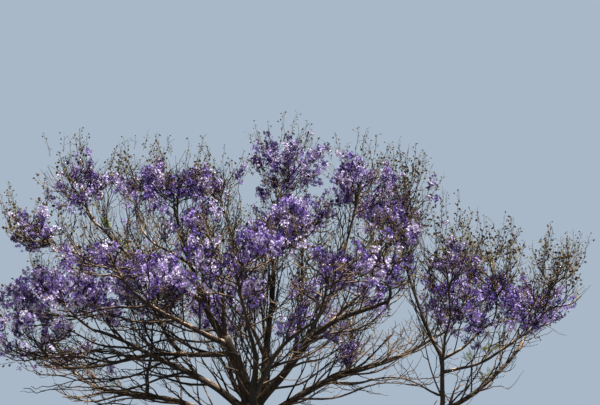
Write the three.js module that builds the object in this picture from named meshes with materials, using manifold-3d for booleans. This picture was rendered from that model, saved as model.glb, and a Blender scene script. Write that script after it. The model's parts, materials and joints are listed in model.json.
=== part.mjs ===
// Jacaranda in bloom: one trunk, its boughs, and masses of flowering twigs.
// Lengths are in millimetres, angles in degrees. The foot of the trunk is the origin,
// +Z is up, headings turn from +X (0) towards +Y (90).
import * as THREE from 'three';
import Module from 'manifold-3d';

const wasm = await Module();
wasm.setup();

// Trunk
const forkHeight = 3750;
const trunkSway = 28;
const trunkSides = 16;
const shaftRadiusLow = 322;
const shaftRadiusHigh = 286;
const footFlare = 200;
const footFlareHeight = 330;
const footLobes = 5;
const lobeDepth = 0.11;
const forkSwell = 44;
const crotchRise = 190;
const trunkHeights = [0, 70, 180, 340, 580, 920, 1400, 1950, 2500, 2950, 3250, 3500, 3680];
const crotchRings = [[0.55, 0.82], [0.9, 0.45]];

// Limbs
const limbSteps = 24;
const limbWobble = 7;
const firstSeed = 101;
const seedStep = 17;
const thickLimb = 90;
const thickLimbSides = 8;
const thinLimbSides = 5;
const ringSpacing = 800;
const rootDepth = 60;
const forkZone = 900;
const seatGap = 0.4;
const stemGap = 0.3;

// Masses of twigs and blossom
const stemRise = 0.3;
const stemPieces = 3;
const stemLift = 0.7;
const stemRootShare = 0.86;
const armCount = 5;
const smallMass = 1020;
const armReach = 0.56;
const armFrom = 0.24;
const armSpan = 0.6;
const armLift = 0.8;
const lowestRise = -0.42;
const riseSpan = 1.34;
const shootTimes = [0.48, 0.8];
const shootReach = 0.62;
const shootReachSpread = 0.12;
const shootLift = 0.9;
const twigClearance = 60;
const wallMargin = 55;
const stemEndRadius = 22;
const armRadius = 15;
const shootRadius = 7;
const twigEndRadius = 10;
const panicleLengths = [900, 780, 670, 570, 480, 400, 330];
const panicleWidth = 0.24;
const panicleReach = 1.1;
const panicleRoom = [0.15, 1, 0.55, 0];
const podRadius = 75;
const podFlatness = 0.24;
const podEvery = 5;
const aroundStep = 0.7549;
const upStep = 0.5698;

// Each bough leaves its parent at a share of the parent's length. Turn and bend are
// how far its heading and rise change along it. A crown is the space of its mass:
// how far out, which way and how high its middle is from the bough's tip.
const boughs = [
  {
    name: 'left_leader', from: 'trunk', at: 0.965, heading: -144, turn: 0, rise: 67, bend: -8,
    length: 1790, base: 170, tip: 115,
  },
  {
    name: 'centre_leader', from: 'trunk', at: 1, heading: 49, turn: 0, rise: 50, bend: 45,
    length: 1340, base: 140, tip: 100,
  },
  {
    name: 'right_leader', from: 'trunk', at: 0.98, heading: -42, turn: 0, rise: 44, bend: -36,
    length: 4510, base: 110, tip: 35,
    crown: { out: 700, toward: -102, up: 510, spread: 1150, height: 950 },
  },
  {
    name: 'low_right', from: 'trunk', at: 0.78, heading: -3, turn: 24, rise: -1, bend: 40,
    length: 7450, base: 115, tip: 32,
    crown: { out: 870, toward: 44, up: 1030, spread: 1000, height: 900 },
  },
  {
    name: 'right_low', from: 'trunk', at: 0.9, heading: 30, turn: -12, rise: 28, bend: -6,
    length: 6300, base: 100, tip: 32,
    crown: { out: 1030, toward: 34, up: 1030, spread: 1400, height: 1100 },
  },
  {
    name: 'front_centre', from: 'trunk', at: 0.94, heading: -85, turn: -8, rise: 30, bend: -14,
    length: 3830, base: 100, tip: 30,
    crown: { out: 910, toward: -102, up: 560, spread: 1300, height: 1000 },
  },
  {
    name: 'left_swing', from: 'trunk', at: 0.92, heading: -165, turn: 10, rise: 42, bend: -34,
    length: 4310, base: 95, tip: 30,
    crown: { out: 830, toward: -149, up: 410, spread: 1350, height: 950 },
  },
  {
    name: 'left_base', from: 'trunk', at: 0.86, heading: 168, turn: -25, rise: 18, bend: -6,
    length: 5220, base: 95, tip: 30,
    crown: { out: 1310, toward: 142, up: 600, spread: 1450, height: 1050 },
  },
  {
    name: 'back_centre', from: 'trunk', at: 0.88, heading: 107, turn: 0, rise: 39, bend: -14,
    length: 4720, base: 105, tip: 34,
    crown: { out: 840, toward: 108, up: 1120, spread: 1600, height: 1200 },
  },
  {
    name: 'left_high', from: 'left_leader', at: 1, heading: -144, turn: 0, rise: 46, bend: 28,
    length: 2950, base: 92, tip: 30,
    crown: { out: 220, toward: -99, up: 900, spread: 900, height: 1000 },
  },
  {
    name: 'left_mid', from: 'left_leader', at: 0.96, heading: -134, turn: 20, rise: 5, bend: 10,
    length: 3200, base: 68, tip: 28,
    crown: { out: 570, toward: -137, up: 380, spread: 1250, height: 950 },
  },
  {
    name: 'left_low', from: 'left_leader', at: 0.82, heading: -172, turn: -10, rise: -5, bend: -2,
    length: 3880, base: 68, tip: 28,
    crown: { out: 790, toward: -164, up: 320, spread: 1200, height: 1000 },
  },
  {
    name: 'inner_left', from: 'left_leader', at: 0.98, heading: -103, turn: 10, rise: 56, bend: 15,
    length: 1620, base: 55, tip: 24,
    crown: { out: 450, toward: -153, up: 810, spread: 1050, height: 1050 },
  },
  {
    name: 'left_far', from: 'left_high', at: 0.38, heading: -156, turn: -8, rise: 20, bend: 22,
    length: 3150, base: 62, tip: 25,
    crown: { out: 430, toward: -166, up: 830, spread: 950, height: 920 },
  },
  {
    name: 'left_arm', from: 'left_far', at: 0.42, heading: -144, turn: 15, rise: 5, bend: -8,
    length: 2310, base: 40, tip: 20,
    crown: { out: 460, toward: -155, up: 150, spread: 850, height: 700 },
  },
  {
    name: 'left_crest', from: 'left_high', at: 0.7, heading: 137, turn: 0, rise: 26, bend: 20,
    length: 3150, base: 40, tip: 22,
    crown: { out: 280, toward: 135, up: 1100, spread: 900, height: 1100 },
  },
  {
    name: 'left_back', from: 'left_low', at: 0.3, heading: 127, turn: -20, rise: 29, bend: 14,
    length: 4110, base: 52, tip: 28,
    crown: { out: 860, toward: 134, up: 1340, spread: 1450, height: 1200 },
  },
  {
    name: 'left_riser', from: 'left_base', at: 0.6, heading: -77, turn: 0, rise: 31, bend: 14,
    length: 2140, base: 50, tip: 22,
    crown: { out: 840, toward: -72, up: 400, spread: 1150, height: 950 },
  },
  {
    name: 'centre_spire', from: 'centre_leader', at: 1, heading: -65, turn: 0, rise: 78, bend: 10,
    length: 3460, base: 80, tip: 28,
    crown: { out: 360, toward: -18, up: 1370, spread: 1050, height: 1500 },
  },
  {
    name: 'centre_left', from: 'centre_leader', at: 0.97, heading: 155, turn: 0, rise: 63, bend: 18,
    length: 3510, base: 55, tip: 24,
    crown: { out: 490, toward: 178, up: 1420, spread: 900, height: 1000 },
  },
  {
    name: 'back_crest', from: 'centre_leader', at: 0.92, heading: 96, turn: 0, rise: 43, bend: 12,
    length: 2940, base: 62, tip: 28,
    crown: { out: 610, toward: 100, up: 1190, spread: 1450, height: 1300 },
  },
  {
    name: 'right_up', from: 'right_leader', at: 0.42, heading: -28, turn: 0, rise: 57, bend: 14,
    length: 3030, base: 58, tip: 25,
    crown: { out: 370, toward: -33, up: 970, spread: 950, height: 1120 },
  },
  {
    name: 'centre_inner', from: 'right_leader', at: 0.36, heading: -63, turn: 10, rise: 70, bend: 20,
    length: 2250, base: 48, tip: 22,
    crown: { out: 240, toward: -64, up: 650, spread: 1000, height: 1050 },
  },
  {
    name: 'right_crest', from: 'right_leader', at: 0.6, heading: 58, turn: 10, rise: 29, bend: 14,
    length: 4450, base: 52, tip: 26,
    crown: { out: 670, toward: 62, up: 1130, spread: 1300, height: 1150 },
  },
  {
    name: 'front_right', from: 'front_centre', at: 0.2, heading: -78, turn: 26, rise: 21, bend: -6,
    length: 3440, base: 70, tip: 28,
    crown: { out: 1020, toward: -75, up: 530, spread: 1250, height: 1000 },
  },
  {
    name: 'right_riser', from: 'low_right', at: 0.62, heading: -90, turn: 0, rise: 54, bend: 20,
    length: 1330, base: 56, tip: 50,
  },
  {
    name: 'right_top', from: 'right_riser', at: 1, heading: -141, turn: -10, rise: 47, bend: 40,
    length: 2740, base: 48, tip: 24,
    crown: { out: 160, toward: 5, up: 1180, spread: 800, height: 1120 },
  },
  {
    name: 'right_mid', from: 'right_riser', at: 0.98, heading: -92, turn: 0, rise: 15, bend: 14,
    length: 1860, base: 36, tip: 20,
    crown: { out: 400, toward: -102, up: 980, spread: 1000, height: 1200 },
  },
  {
    name: 'right_inner', from: 'right_riser', at: 0.95, heading: -21, turn: 0, rise: 27, bend: 12,
    length: 1500, base: 36, tip: 20,
    crown: { out: 180, toward: 32, up: 1310, spread: 1050, height: 1250 },
  },
  {
    name: 'right_outer', from: 'right_riser', at: 0.72, heading: -21, turn: 0, rise: 9, bend: 26,
    length: 2380, base: 38, tip: 22,
    crown: { out: 630, toward: -9, up: 930, spread: 880, height: 1150 },
  },
  {
    name: 'back_right', from: 'right_low', at: 0.42, heading: 72, turn: 20, rise: 20, bend: 10,
    length: 3670, base: 62, tip: 28,
    crown: { out: 800, toward: 80, up: 830, spread: 1600, height: 1150 },
  },
];

const up = new THREE.Vector3(0, 0, 1);

function randomFrom(seed) {
  let state = seed >>> 0;
  return () => {
    state = (state + 0x6d2b79f5) >>> 0;
    let value = state;
    value = Math.imul(value ^ (value >>> 15), value | 1);
    value ^= value + Math.imul(value ^ (value >>> 7), value | 61);
    return ((value ^ (value >>> 14)) >>> 0) / 4294967296;
  };
}

function mixSeed(seed, index) {
  const value = Math.imul(seed ^ Math.imul(index + 1, 0x9e3779b1), 0x85ebca6b) >>> 0;
  return (value ^ (value >>> 15)) >>> 0;
}

function towards(heading, rise) {
  const h = THREE.MathUtils.degToRad(heading);
  const r = THREE.MathUtils.degToRad(rise);
  return new THREE.Vector3(Math.cos(r) * Math.cos(h), Math.cos(r) * Math.sin(h), Math.sin(r));
}

function share(value) {
  return value - Math.floor(value);
}

// Point at a share of the length of an evenly stepped line
function along(points, t) {
  const place = THREE.MathUtils.clamp(t, 0, 1) * (points.length - 1);
  const index = Math.min(points.length - 2, Math.floor(place));
  return points[index].clone().lerp(points[index + 1], place - index);
}

function directionAlong(points, t) {
  const place = THREE.MathUtils.clamp(t, 0, 1) * (points.length - 1);
  const index = Math.min(points.length - 2, Math.floor(place));
  return points[index + 1].clone().sub(points[index]).normalize();
}

function trunkCentre(z) {
  return new THREE.Vector3(-trunkSway * Math.sin((2 * Math.PI * z) / forkHeight), 0, z);
}

function limbPath(start, limb, seed) {
  const random = randomFrom(seed);
  const headingPhase = random() * 2 * Math.PI;
  const risePhase = random() * 2 * Math.PI;
  const points = [start.clone()];
  for (let i = 0; i < limbSteps; i += 1) {
    const s = (i + 0.5) / limbSteps;
    const sway = limbWobble * Math.min(1, 4 * s);
    const heading = limb.heading + limb.turn * s + sway * Math.sin(9.5 * s + headingPhase);
    const rise = limb.rise + limb.bend * s + sway * Math.sin(8 * s + risePhase);
    const step = towards(heading, rise).multiplyScalar(limb.length / limbSteps);
    points.push(points[i].clone().add(step));
  }
  return points;
}

// Closed skin over rings of equal size; the last ring may be a single tip point
function skin(rings) {
  const vertices = [];
  const triangles = [];
  const sides = rings[0].length;
  const starts = [];
  for (const ring of rings) {
    starts.push(vertices.length);
    vertices.push(...ring);
  }
  for (let k = 0; k + 1 < rings.length; k += 1) {
    const low = starts[k];
    const high = starts[k + 1];
    for (let i = 0; i < sides; i += 1) {
      const j = (i + 1) % sides;
      if (rings[k + 1].length === 1) {
        triangles.push([low + i, low + j, high]);
      } else {
        triangles.push([low + i, low + j, high + j]);
        triangles.push([low + i, high + j, high + i]);
      }
    }
  }
  closeEnd(vertices, triangles, rings[0], starts[0], true);
  const last = rings[rings.length - 1];
  if (last.length > 1) {
    closeEnd(vertices, triangles, last, starts[rings.length - 1], false);
  }
  return solidFrom(vertices, triangles);
}

function closeEnd(vertices, triangles, ring, start, reversed) {
  const sides = ring.length;
  if (sides === 3) {
    triangles.push(reversed ? [start, start + 2, start + 1] : [start, start + 1, start + 2]);
    return;
  }
  const middle = new THREE.Vector3();
  ring.forEach((point) => middle.add(point));
  vertices.push(middle.divideScalar(sides));
  const centre = vertices.length - 1;
  for (let i = 0; i < sides; i += 1) {
    const j = (i + 1) % sides;
    triangles.push(reversed ? [start + j, start + i, centre] : [start + i, start + j, centre]);
  }
}

function solidFrom(vertices, triangles) {
  const vertProperties = new Float32Array(vertices.flatMap((v) => [v.x, v.y, v.z]));
  const triVerts = new Uint32Array(triangles.flat());
  return new wasm.Manifold(new wasm.Mesh({ numProp: 3, vertProperties, triVerts }));
}

// Rings round a line of points, carried along without twisting; the widest of a
// flat-ended line is thinned across
function ringsRound(points, radii, sides, flatness, ends) {
  const widest = Math.max(...radii);
  const rings = [];
  let side = null;
  points.forEach((point, k) => {
    const before = points[Math.max(0, k - 1)];
    const after = points[Math.min(points.length - 1, k + 1)];
    let forward = after.clone().sub(before).normalize();
    if (k === 0 && ends.start) {
      forward = ends.start;
    }
    if (k === points.length - 1 && ends.end) {
      forward = ends.end;
    }
    if (side === null) {
      const rough = Math.abs(forward.z) > 0.9 ? new THREE.Vector3(1, 0, 0) : up;
      side = new THREE.Vector3().crossVectors(forward, rough);
    }
    side.addScaledVector(forward, -side.dot(forward)).normalize();
    const across = new THREE.Vector3().crossVectors(forward, side);
    if (radii[k] === 0) {
      rings.push([point.clone()]);
      return;
    }
    const ring = [];
    const thin = radii[k] === widest ? flatness : 1;
    for (let i = 0; i < sides; i += 1) {
      const angle = (2 * Math.PI * i) / sides;
      const spoke = side.clone().multiplyScalar(Math.cos(angle) * radii[k] * thin);
      ring.push(point.clone().add(spoke).addScaledVector(across, Math.sin(angle) * radii[k]));
    }
    rings.push(ring);
  });
  return rings;
}

function tube(points, radii, sides, flatness = 1, ends = {}) {
  return skin(ringsRound(points, radii, sides, flatness, ends));
}

function trunkRadius(z, angle) {
  const taper = THREE.MathUtils.lerp(shaftRadiusLow, shaftRadiusHigh, Math.min(1, z / 2700));
  const flare = footFlare * Math.exp(-z / footFlareHeight);
  const swell = forkSwell * THREE.MathUtils.smoothstep(z, 2700, 3450);
  const lobe = Math.cos(footLobes * angle + 0.6) + 0.45 * Math.cos(2 * angle - 0.8);
  const depth = lobeDepth * Math.exp(-z / (2 * footFlareHeight)) + 0.02;
  return (taper + flare + swell) * (1 + depth * lobe);
}

function trunkRing(z, widthAt, share, grown) {
  const ring = [];
  for (let i = 0; i < trunkSides; i += 1) {
    const angle = (2 * Math.PI * i) / trunkSides;
    const radius = trunkRadius(widthAt, angle) * share + grown;
    const spoke = new THREE.Vector3(Math.cos(angle), Math.sin(angle), 0).multiplyScalar(radius);
    ring.push(trunkCentre(z).add(spoke));
  }
  return ring;
}

// Rings up the shaft, then the rounded crotch between the boughs
function makeTrunk(grown) {
  const rings = trunkHeights.map((z) => trunkRing(z, z, 1, grown));
  const top = trunkHeights[trunkHeights.length - 1];
  for (const [lift, narrowing] of crotchRings) {
    rings.push(trunkRing(top + lift * crotchRise + grown, top, narrowing, grown));
  }
  return skin(rings);
}

// Lay out every limb before any is made solid
const limbs = new Map();
const trunkLine = [];
for (let i = 0; i <= limbSteps; i += 1) {
  trunkLine.push(trunkCentre((forkHeight * i) / limbSteps));
}
limbs.set('trunk', { points: trunkLine, base: shaftRadiusLow, tip: shaftRadiusHigh + forkSwell });
boughs.forEach((bough, index) => {
  const start = along(limbs.get(bough.from).points, bough.at);
  const seed = firstSeed + seedStep * index;
  const points = limbPath(start, bough, seed);
  limbs.set(bough.name, { points, base: bough.base, tip: bough.tip, seed });
});

function limbRadius(limb, t) {
  return THREE.MathUtils.lerp(limb.base, limb.tip, t);
}

function makeBough(bough, grown) {
  const limb = limbs.get(bough.name);
  const ringCount = THREE.MathUtils.clamp(Math.round(bough.length / ringSpacing), 3, 13) + 1;
  const points = [];
  const radii = [];
  for (let k = 0; k < ringCount; k += 1) {
    const t = k / (ringCount - 1);
    points.push(along(limb.points, t));
    radii.push(limbRadius(limb, t) + grown);
  }
  const depth = bough.from === 'trunk' ? grown : grown + rootDepth;
  const forward = directionAlong(limb.points, 1);
  points[0].addScaledVector(directionAlong(points, 0), -depth);
  points[ringCount - 1].addScaledVector(forward, grown);
  const sides = bough.base >= thickLimb ? thickLimbSides : thinLimbSides;
  return tube(points, radii, sides, 1, { end: forward });
}

function largestPiece(solid) {
  const pieces = solid.decompose();
  pieces.sort((a, b) => b.volume() - a.volume());
  return pieces[0];
}

// The space of each mass, and the planes that part it from the others
const masses = boughs.filter((bough) => bough.crown).map((bough) => {
  const { out, toward, up: lift, spread, height } = bough.crown;
  const limb = limbs.get(bough.name);
  const tip = limb.points[limbSteps];
  const forward = directionAlong(limb.points, 1);
  const centre = tip.clone().add(towards(toward, 0).multiplyScalar(out)).addScaledVector(up, lift);
  const size = new THREE.Vector3(spread, spread, height);
  return { bough, tip, forward, centre, size, seed: mixSeed(limb.seed, 0), walls: [] };
});

function reachTowards(mass, direction) {
  return 1 / direction.clone().divide(mass.size).length();
}

masses.forEach((mass) => {
  for (const other of masses) {
    if (other === mass) {
      continue;
    }
    const apart = other.centre.clone().sub(mass.centre);
    const distance = apart.length();
    const direction = apart.divideScalar(distance);
    const own = reachTowards(mass, direction);
    const theirs = reachTowards(other, direction);
    if (distance < own + theirs + 2 * wallMargin) {
      mass.walls.push({ direction, offset: (distance * own) / (own + theirs) - wallMargin });
    }
  }
});

function insideSpace(mass, point, margin, reach = 1) {
  const from = point.clone().sub(mass.centre);
  const scaled = from.clone().divide(mass.size);
  if (scaled.length() > reach) {
    return false;
  }
  return mass.walls.every((wall) => from.dot(wall.direction) < wall.offset - margin);
}

function distanceToLine(point, points) {
  let best = { distance: Infinity, t: 0 };
  for (let i = 0; i + 1 < points.length; i += 1) {
    const a = points[i];
    const run = points[i + 1].clone().sub(a);
    const t = THREE.MathUtils.clamp(point.clone().sub(a).dot(run) / run.lengthSq(), 0, 1);
    const distance = a.clone().addScaledVector(run, t).distanceTo(point);
    if (distance < best.distance) {
      best = { distance, t: (i + t) / (points.length - 1) };
    }
  }
  return best;
}

function clearOfLimbs(mass, point, clearance) {
  for (const [name, limb] of limbs) {
    const near = distanceToLine(point, limb.points);
    const room = name === mass.bough.name ? 0.4 * clearance : clearance;
    if (near.distance < limbRadius(limb, near.t) + room) {
      return false;
    }
  }
  return masses.every((other) => {
    return other === mass || distanceToLine(point, other.stem.points).distance > other.bough.tip + clearance;
  });
}

// Every quarter of each straight piece keeps to the space and clear of the limbs
function twigAllowed(mass, points) {
  const checks = 4 * (points.length - 1);
  for (let i = 1; i <= checks; i += 1) {
    const point = along(points, i / checks);
    if (!insideSpace(mass, point, 0) || !clearOfLimbs(mass, point, twigClearance)) {
      return false;
    }
  }
  return true;
}

// A curved twig from a point on its parent to its end, turning upwards there
function twigLine(start, leaving, end, lift, pieces) {
  const run = end.clone().sub(start);
  const reach = run.length();
  const straight = run.clone().normalize();
  const first = straight.clone().add(leaving).normalize();
  const last = straight.clone().addScaledVector(up, lift).normalize();
  const curve = new THREE.CubicBezierCurve3(
    start,
    start.clone().addScaledVector(first, reach * 0.33),
    end.clone().addScaledVector(last, -reach * 0.33),
    end,
  );
  const points = [];
  for (let i = 0; i <= pieces; i += 1) {
    points.push(curve.getPoint(i / pieces));
  }
  return points;
}

// One stem from the bough's tip up through the middle of the mass
for (const mass of masses) {
  const start = mass.tip.clone().addScaledVector(mass.forward, stemGap);
  const end = mass.centre.clone().addScaledVector(up, stemRise * mass.size.z);
  const points = twigLine(start, mass.forward, end, stemLift, stemPieces);
  const rootRadius = stemRootShare * mass.bough.tip;
  const radii = points.map((point, k) => THREE.MathUtils.lerp(rootRadius, stemEndRadius, k / stemPieces));
  mass.stem = { points, radii };
}

function growArms(mass) {
  const random = randomFrom(mass.seed);
  const around = random();
  const firstLevel = random();
  const arms = [];
  const count = mass.size.x < smallMass ? armCount - 1 : armCount;
  for (let k = 0; k < count; k += 1) {
    const angle = 360 * share(around + k * aroundStep);
    const level = share(firstLevel + k * upStep);
    const rise = Math.asin(lowestRise + riseSpan * level);
    const facing = towards(angle, THREE.MathUtils.radToDeg(rise));
    const end = mass.centre.clone().addScaledVector(facing.clone().multiply(mass.size), armReach);
    const t = armFrom + armSpan * level;
    const start = along(mass.stem.points, t);
    const points = twigLine(start, directionAlong(mass.stem.points, t), end, armLift, 2);
    if (twigAllowed(mass, points)) {
      const radii = [armRadius, 1.1 * armRadius, armRadius];
      arms.push({ facing, points, radii, seed: mixSeed(mass.seed, k + 1) });
    }
  }
  return arms;
}

function growShoots(mass, arm) {
  const shoots = [];
  shootTimes.forEach((t, j) => {
    const random = randomFrom(mixSeed(arm.seed, j));
    const side = new THREE.Vector3().crossVectors(arm.facing, up).normalize();
    const hand = j % 2 === 0 ? 1 : -1;
    const facing = arm.facing.clone().addScaledVector(side, hand * (0.5 + 0.4 * random()));
    facing.addScaledVector(up, 0.7 * random() - 0.15).normalize();
    const reach = shootReach + shootReachSpread * random();
    const end = mass.centre.clone().addScaledVector(facing.clone().multiply(mass.size), reach);
    const points = twigLine(along(arm.points, t), directionAlong(arm.points, t), end, shootLift, 1);
    if (twigAllowed(mass, points)) {
      shoots.push({ facing, points, radii: [shootRadius, twigEndRadius], seed: mixSeed(arm.seed, j + 20) });
    }
  });
  return shoots;
}

// The longest panicle that keeps to the mass's space and clear of the limbs
function panicleOn(mass, twig) {
  const end = twig.points[twig.points.length - 1];
  const forward = directionAlong(twig.points, 1).addScaledVector(up, 0.35).normalize();
  for (const length of panicleLengths) {
    const belly = end.clone().addScaledVector(forward, 0.36 * length);
    const tip = end.clone().addScaledVector(forward, length);
    const width = panicleWidth * length;
    const middle = end.clone().addScaledVector(forward, 0.7 * length);
    if ([end, belly, middle, tip].every((point, k) => {
      const room = panicleRoom[k] * width;
      return insideSpace(mass, point, room, panicleReach) && clearOfLimbs(mass, point, room + 15);
    })) {
      return { points: [belly, tip], radii: [width, 0] };
    }
  }
  return null;
}

// A twig that widens at its end into a flat pod or a panicle
function makeTwig(mass, twig, sides, ends = {}) {
  if (twig.pod) {
    const end = twig.points[twig.points.length - 1];
    const forward = directionAlong(twig.points, 1);
    const middle = end.clone().addScaledVector(forward, podRadius);
    const far = end.clone().addScaledVector(forward, 2 * podRadius);
    return tube([...twig.points, middle, far], [...twig.radii, podRadius, 0], sides, podFlatness);
  }
  const panicle = panicleOn(mass, twig);
  if (panicle === null) {
    return tube(twig.points, twig.radii, sides, 1, ends);
  }
  return tube([...twig.points, ...panicle.points], [...twig.radii, ...panicle.radii], sides, 1, ends);
}

function makeMass(mass) {
  const parts = [makeTwig(mass, mass.stem, 4, { start: mass.forward })];
  let count = 0;
  for (const arm of growArms(mass)) {
    for (const twig of [arm, ...growShoots(mass, arm)]) {
      count += 1;
      twig.pod = twig !== arm && count % podEvery === 0;
      parts.push(makeTwig(mass, twig, 3));
    }
  }
  return largestPiece(wasm.Manifold.union(parts));
}

const bark = new THREE.MeshStandardMaterial({ color: 0x6d5744, roughness: 0.9, name: 'bark' });
const bloom = new THREE.MeshStandardMaterial({ color: 0x8f6cc4, roughness: 0.75, name: 'bloom' });

function meshFrom(solid, material, name) {
  const mesh = solid.getMesh();
  const geometry = new THREE.BufferGeometry();
  geometry.setAttribute('position', new THREE.BufferAttribute(new Float32Array(mesh.vertProperties), 3));
  geometry.setIndex(new THREE.BufferAttribute(new Uint32Array(mesh.triVerts), 1));
  geometry.computeVertexNormals();
  const result = new THREE.Mesh(geometry, material.clone());
  result.name = name;
  return result;
}

const tree = new THREE.Group();
tree.name = 'jacaranda';
tree.add(meshFrom(makeTrunk(0), bark, 'trunk'));

// Seat each bough on its parent and beside the boughs that leave near it
const grownLimbs = new Map([['trunk', makeTrunk(seatGap)]]);
for (const bough of boughs) {
  let solid = makeBough(bough, 0);
  for (const [name, grown] of grownLimbs) {
    const origin = limbs.get(bough.name).points[0];
    const near = distanceToLine(origin, limbs.get(name).points).distance < forkZone;
    if (name === bough.from || near) {
      solid = largestPiece(solid.subtract(grown));
    }
  }
  grownLimbs.set(bough.name, makeBough(bough, seatGap));
  tree.add(meshFrom(solid, bark, bough.name));
}

for (const mass of masses) {
  tree.add(meshFrom(makeMass(mass), bloom, `${mass.bough.name}_bloom`));
}

export default tree;
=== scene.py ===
import json
import math
import bmesh
import bpy
import numpy as np
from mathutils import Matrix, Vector, noise

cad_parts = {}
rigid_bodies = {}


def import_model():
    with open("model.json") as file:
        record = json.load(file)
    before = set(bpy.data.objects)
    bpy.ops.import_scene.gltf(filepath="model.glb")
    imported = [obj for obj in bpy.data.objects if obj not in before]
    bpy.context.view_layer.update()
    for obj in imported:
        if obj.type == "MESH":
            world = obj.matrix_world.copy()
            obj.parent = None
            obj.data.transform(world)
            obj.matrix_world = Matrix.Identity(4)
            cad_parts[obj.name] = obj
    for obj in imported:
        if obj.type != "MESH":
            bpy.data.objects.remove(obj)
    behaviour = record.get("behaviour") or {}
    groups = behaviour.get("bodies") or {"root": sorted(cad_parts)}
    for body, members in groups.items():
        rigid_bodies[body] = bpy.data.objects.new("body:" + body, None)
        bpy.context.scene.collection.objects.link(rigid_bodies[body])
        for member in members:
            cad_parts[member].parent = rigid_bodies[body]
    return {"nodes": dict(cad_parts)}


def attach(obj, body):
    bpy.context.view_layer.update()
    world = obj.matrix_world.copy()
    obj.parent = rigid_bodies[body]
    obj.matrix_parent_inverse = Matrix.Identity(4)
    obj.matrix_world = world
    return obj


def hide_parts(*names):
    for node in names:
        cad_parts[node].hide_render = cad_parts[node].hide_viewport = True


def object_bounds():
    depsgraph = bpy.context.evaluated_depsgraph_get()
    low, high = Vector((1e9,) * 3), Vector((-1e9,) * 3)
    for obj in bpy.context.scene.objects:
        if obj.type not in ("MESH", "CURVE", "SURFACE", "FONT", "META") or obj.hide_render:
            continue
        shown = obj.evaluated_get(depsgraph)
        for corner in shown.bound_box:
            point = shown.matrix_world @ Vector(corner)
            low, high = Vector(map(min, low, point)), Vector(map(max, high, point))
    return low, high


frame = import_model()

# A jacaranda in bloom. Metres and degrees, as in the source: the trunk's foot is the origin,
# headings turn from +X (0) towards +Y (90), and the viewer of the photograph is at -Y.
cadBox = [list(corner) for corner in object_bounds()]
scene = bpy.context.scene
up = Vector((0, 0, 1))
goldenAngle = math.radians(137.508)
massNodes = sorted(name for name in frame["nodes"] if name.endswith("_bloom"))

# Camera where the photographer stood, looking up into the crown
cameraPlace = {"place": (1.1, -17.0, 1.6), "lookUp": 23.5, "lens": 42.0, "sensor": 36.0, "farthest": 900}
picture = {"width": 600, "height": 405}


def placeCamera(setting):
    data = bpy.data.cameras.new("groundCamera")
    data.lens = setting["lens"]
    data.sensor_width = setting["sensor"]
    data.clip_end = setting["farthest"]
    camera = bpy.data.objects.new("groundCamera", data)
    camera.location = setting["place"]
    camera.rotation_euler = (math.radians(90 + setting["lookUp"]), 0, 0)
    scene.collection.objects.link(camera)
    scene.camera = camera


placeCamera(cameraPlace)


def addNode(tree, kind, inputs=None, **settings):
    node = tree.nodes.new(kind)
    for key, value in settings.items():
        setattr(node, key, value)
    for key, value in (inputs or {}).items():
        if isinstance(value, bpy.types.NodeSocket):
            tree.links.new(value, node.inputs[key])
        else:
            node.inputs[key].default_value = value
    return node


def linearColour(hexText):
    channels = [int(hexText[i:i + 2], 16) / 255 for i in (1, 3, 5)]
    return [c / 12.92 if c <= 0.04045 else ((c + 0.055) / 1.055) ** 2.4 for c in channels] + [1.0]


def linkObject(name, mesh):
    piece = bpy.data.objects.new(name, mesh)
    scene.collection.objects.link(piece)
    return piece


def meshFrom(name, vertices, faces=(), edges=()):
    mesh = bpy.data.meshes.new(name)
    mesh.from_pydata([tuple(v) for v in vertices], [tuple(e) for e in edges], [tuple(f) for f in faces])
    mesh.update()
    return mesh


def triangleCount(mesh):
    return sum(len(face.vertices) - 2 for face in mesh.polygons)


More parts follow.
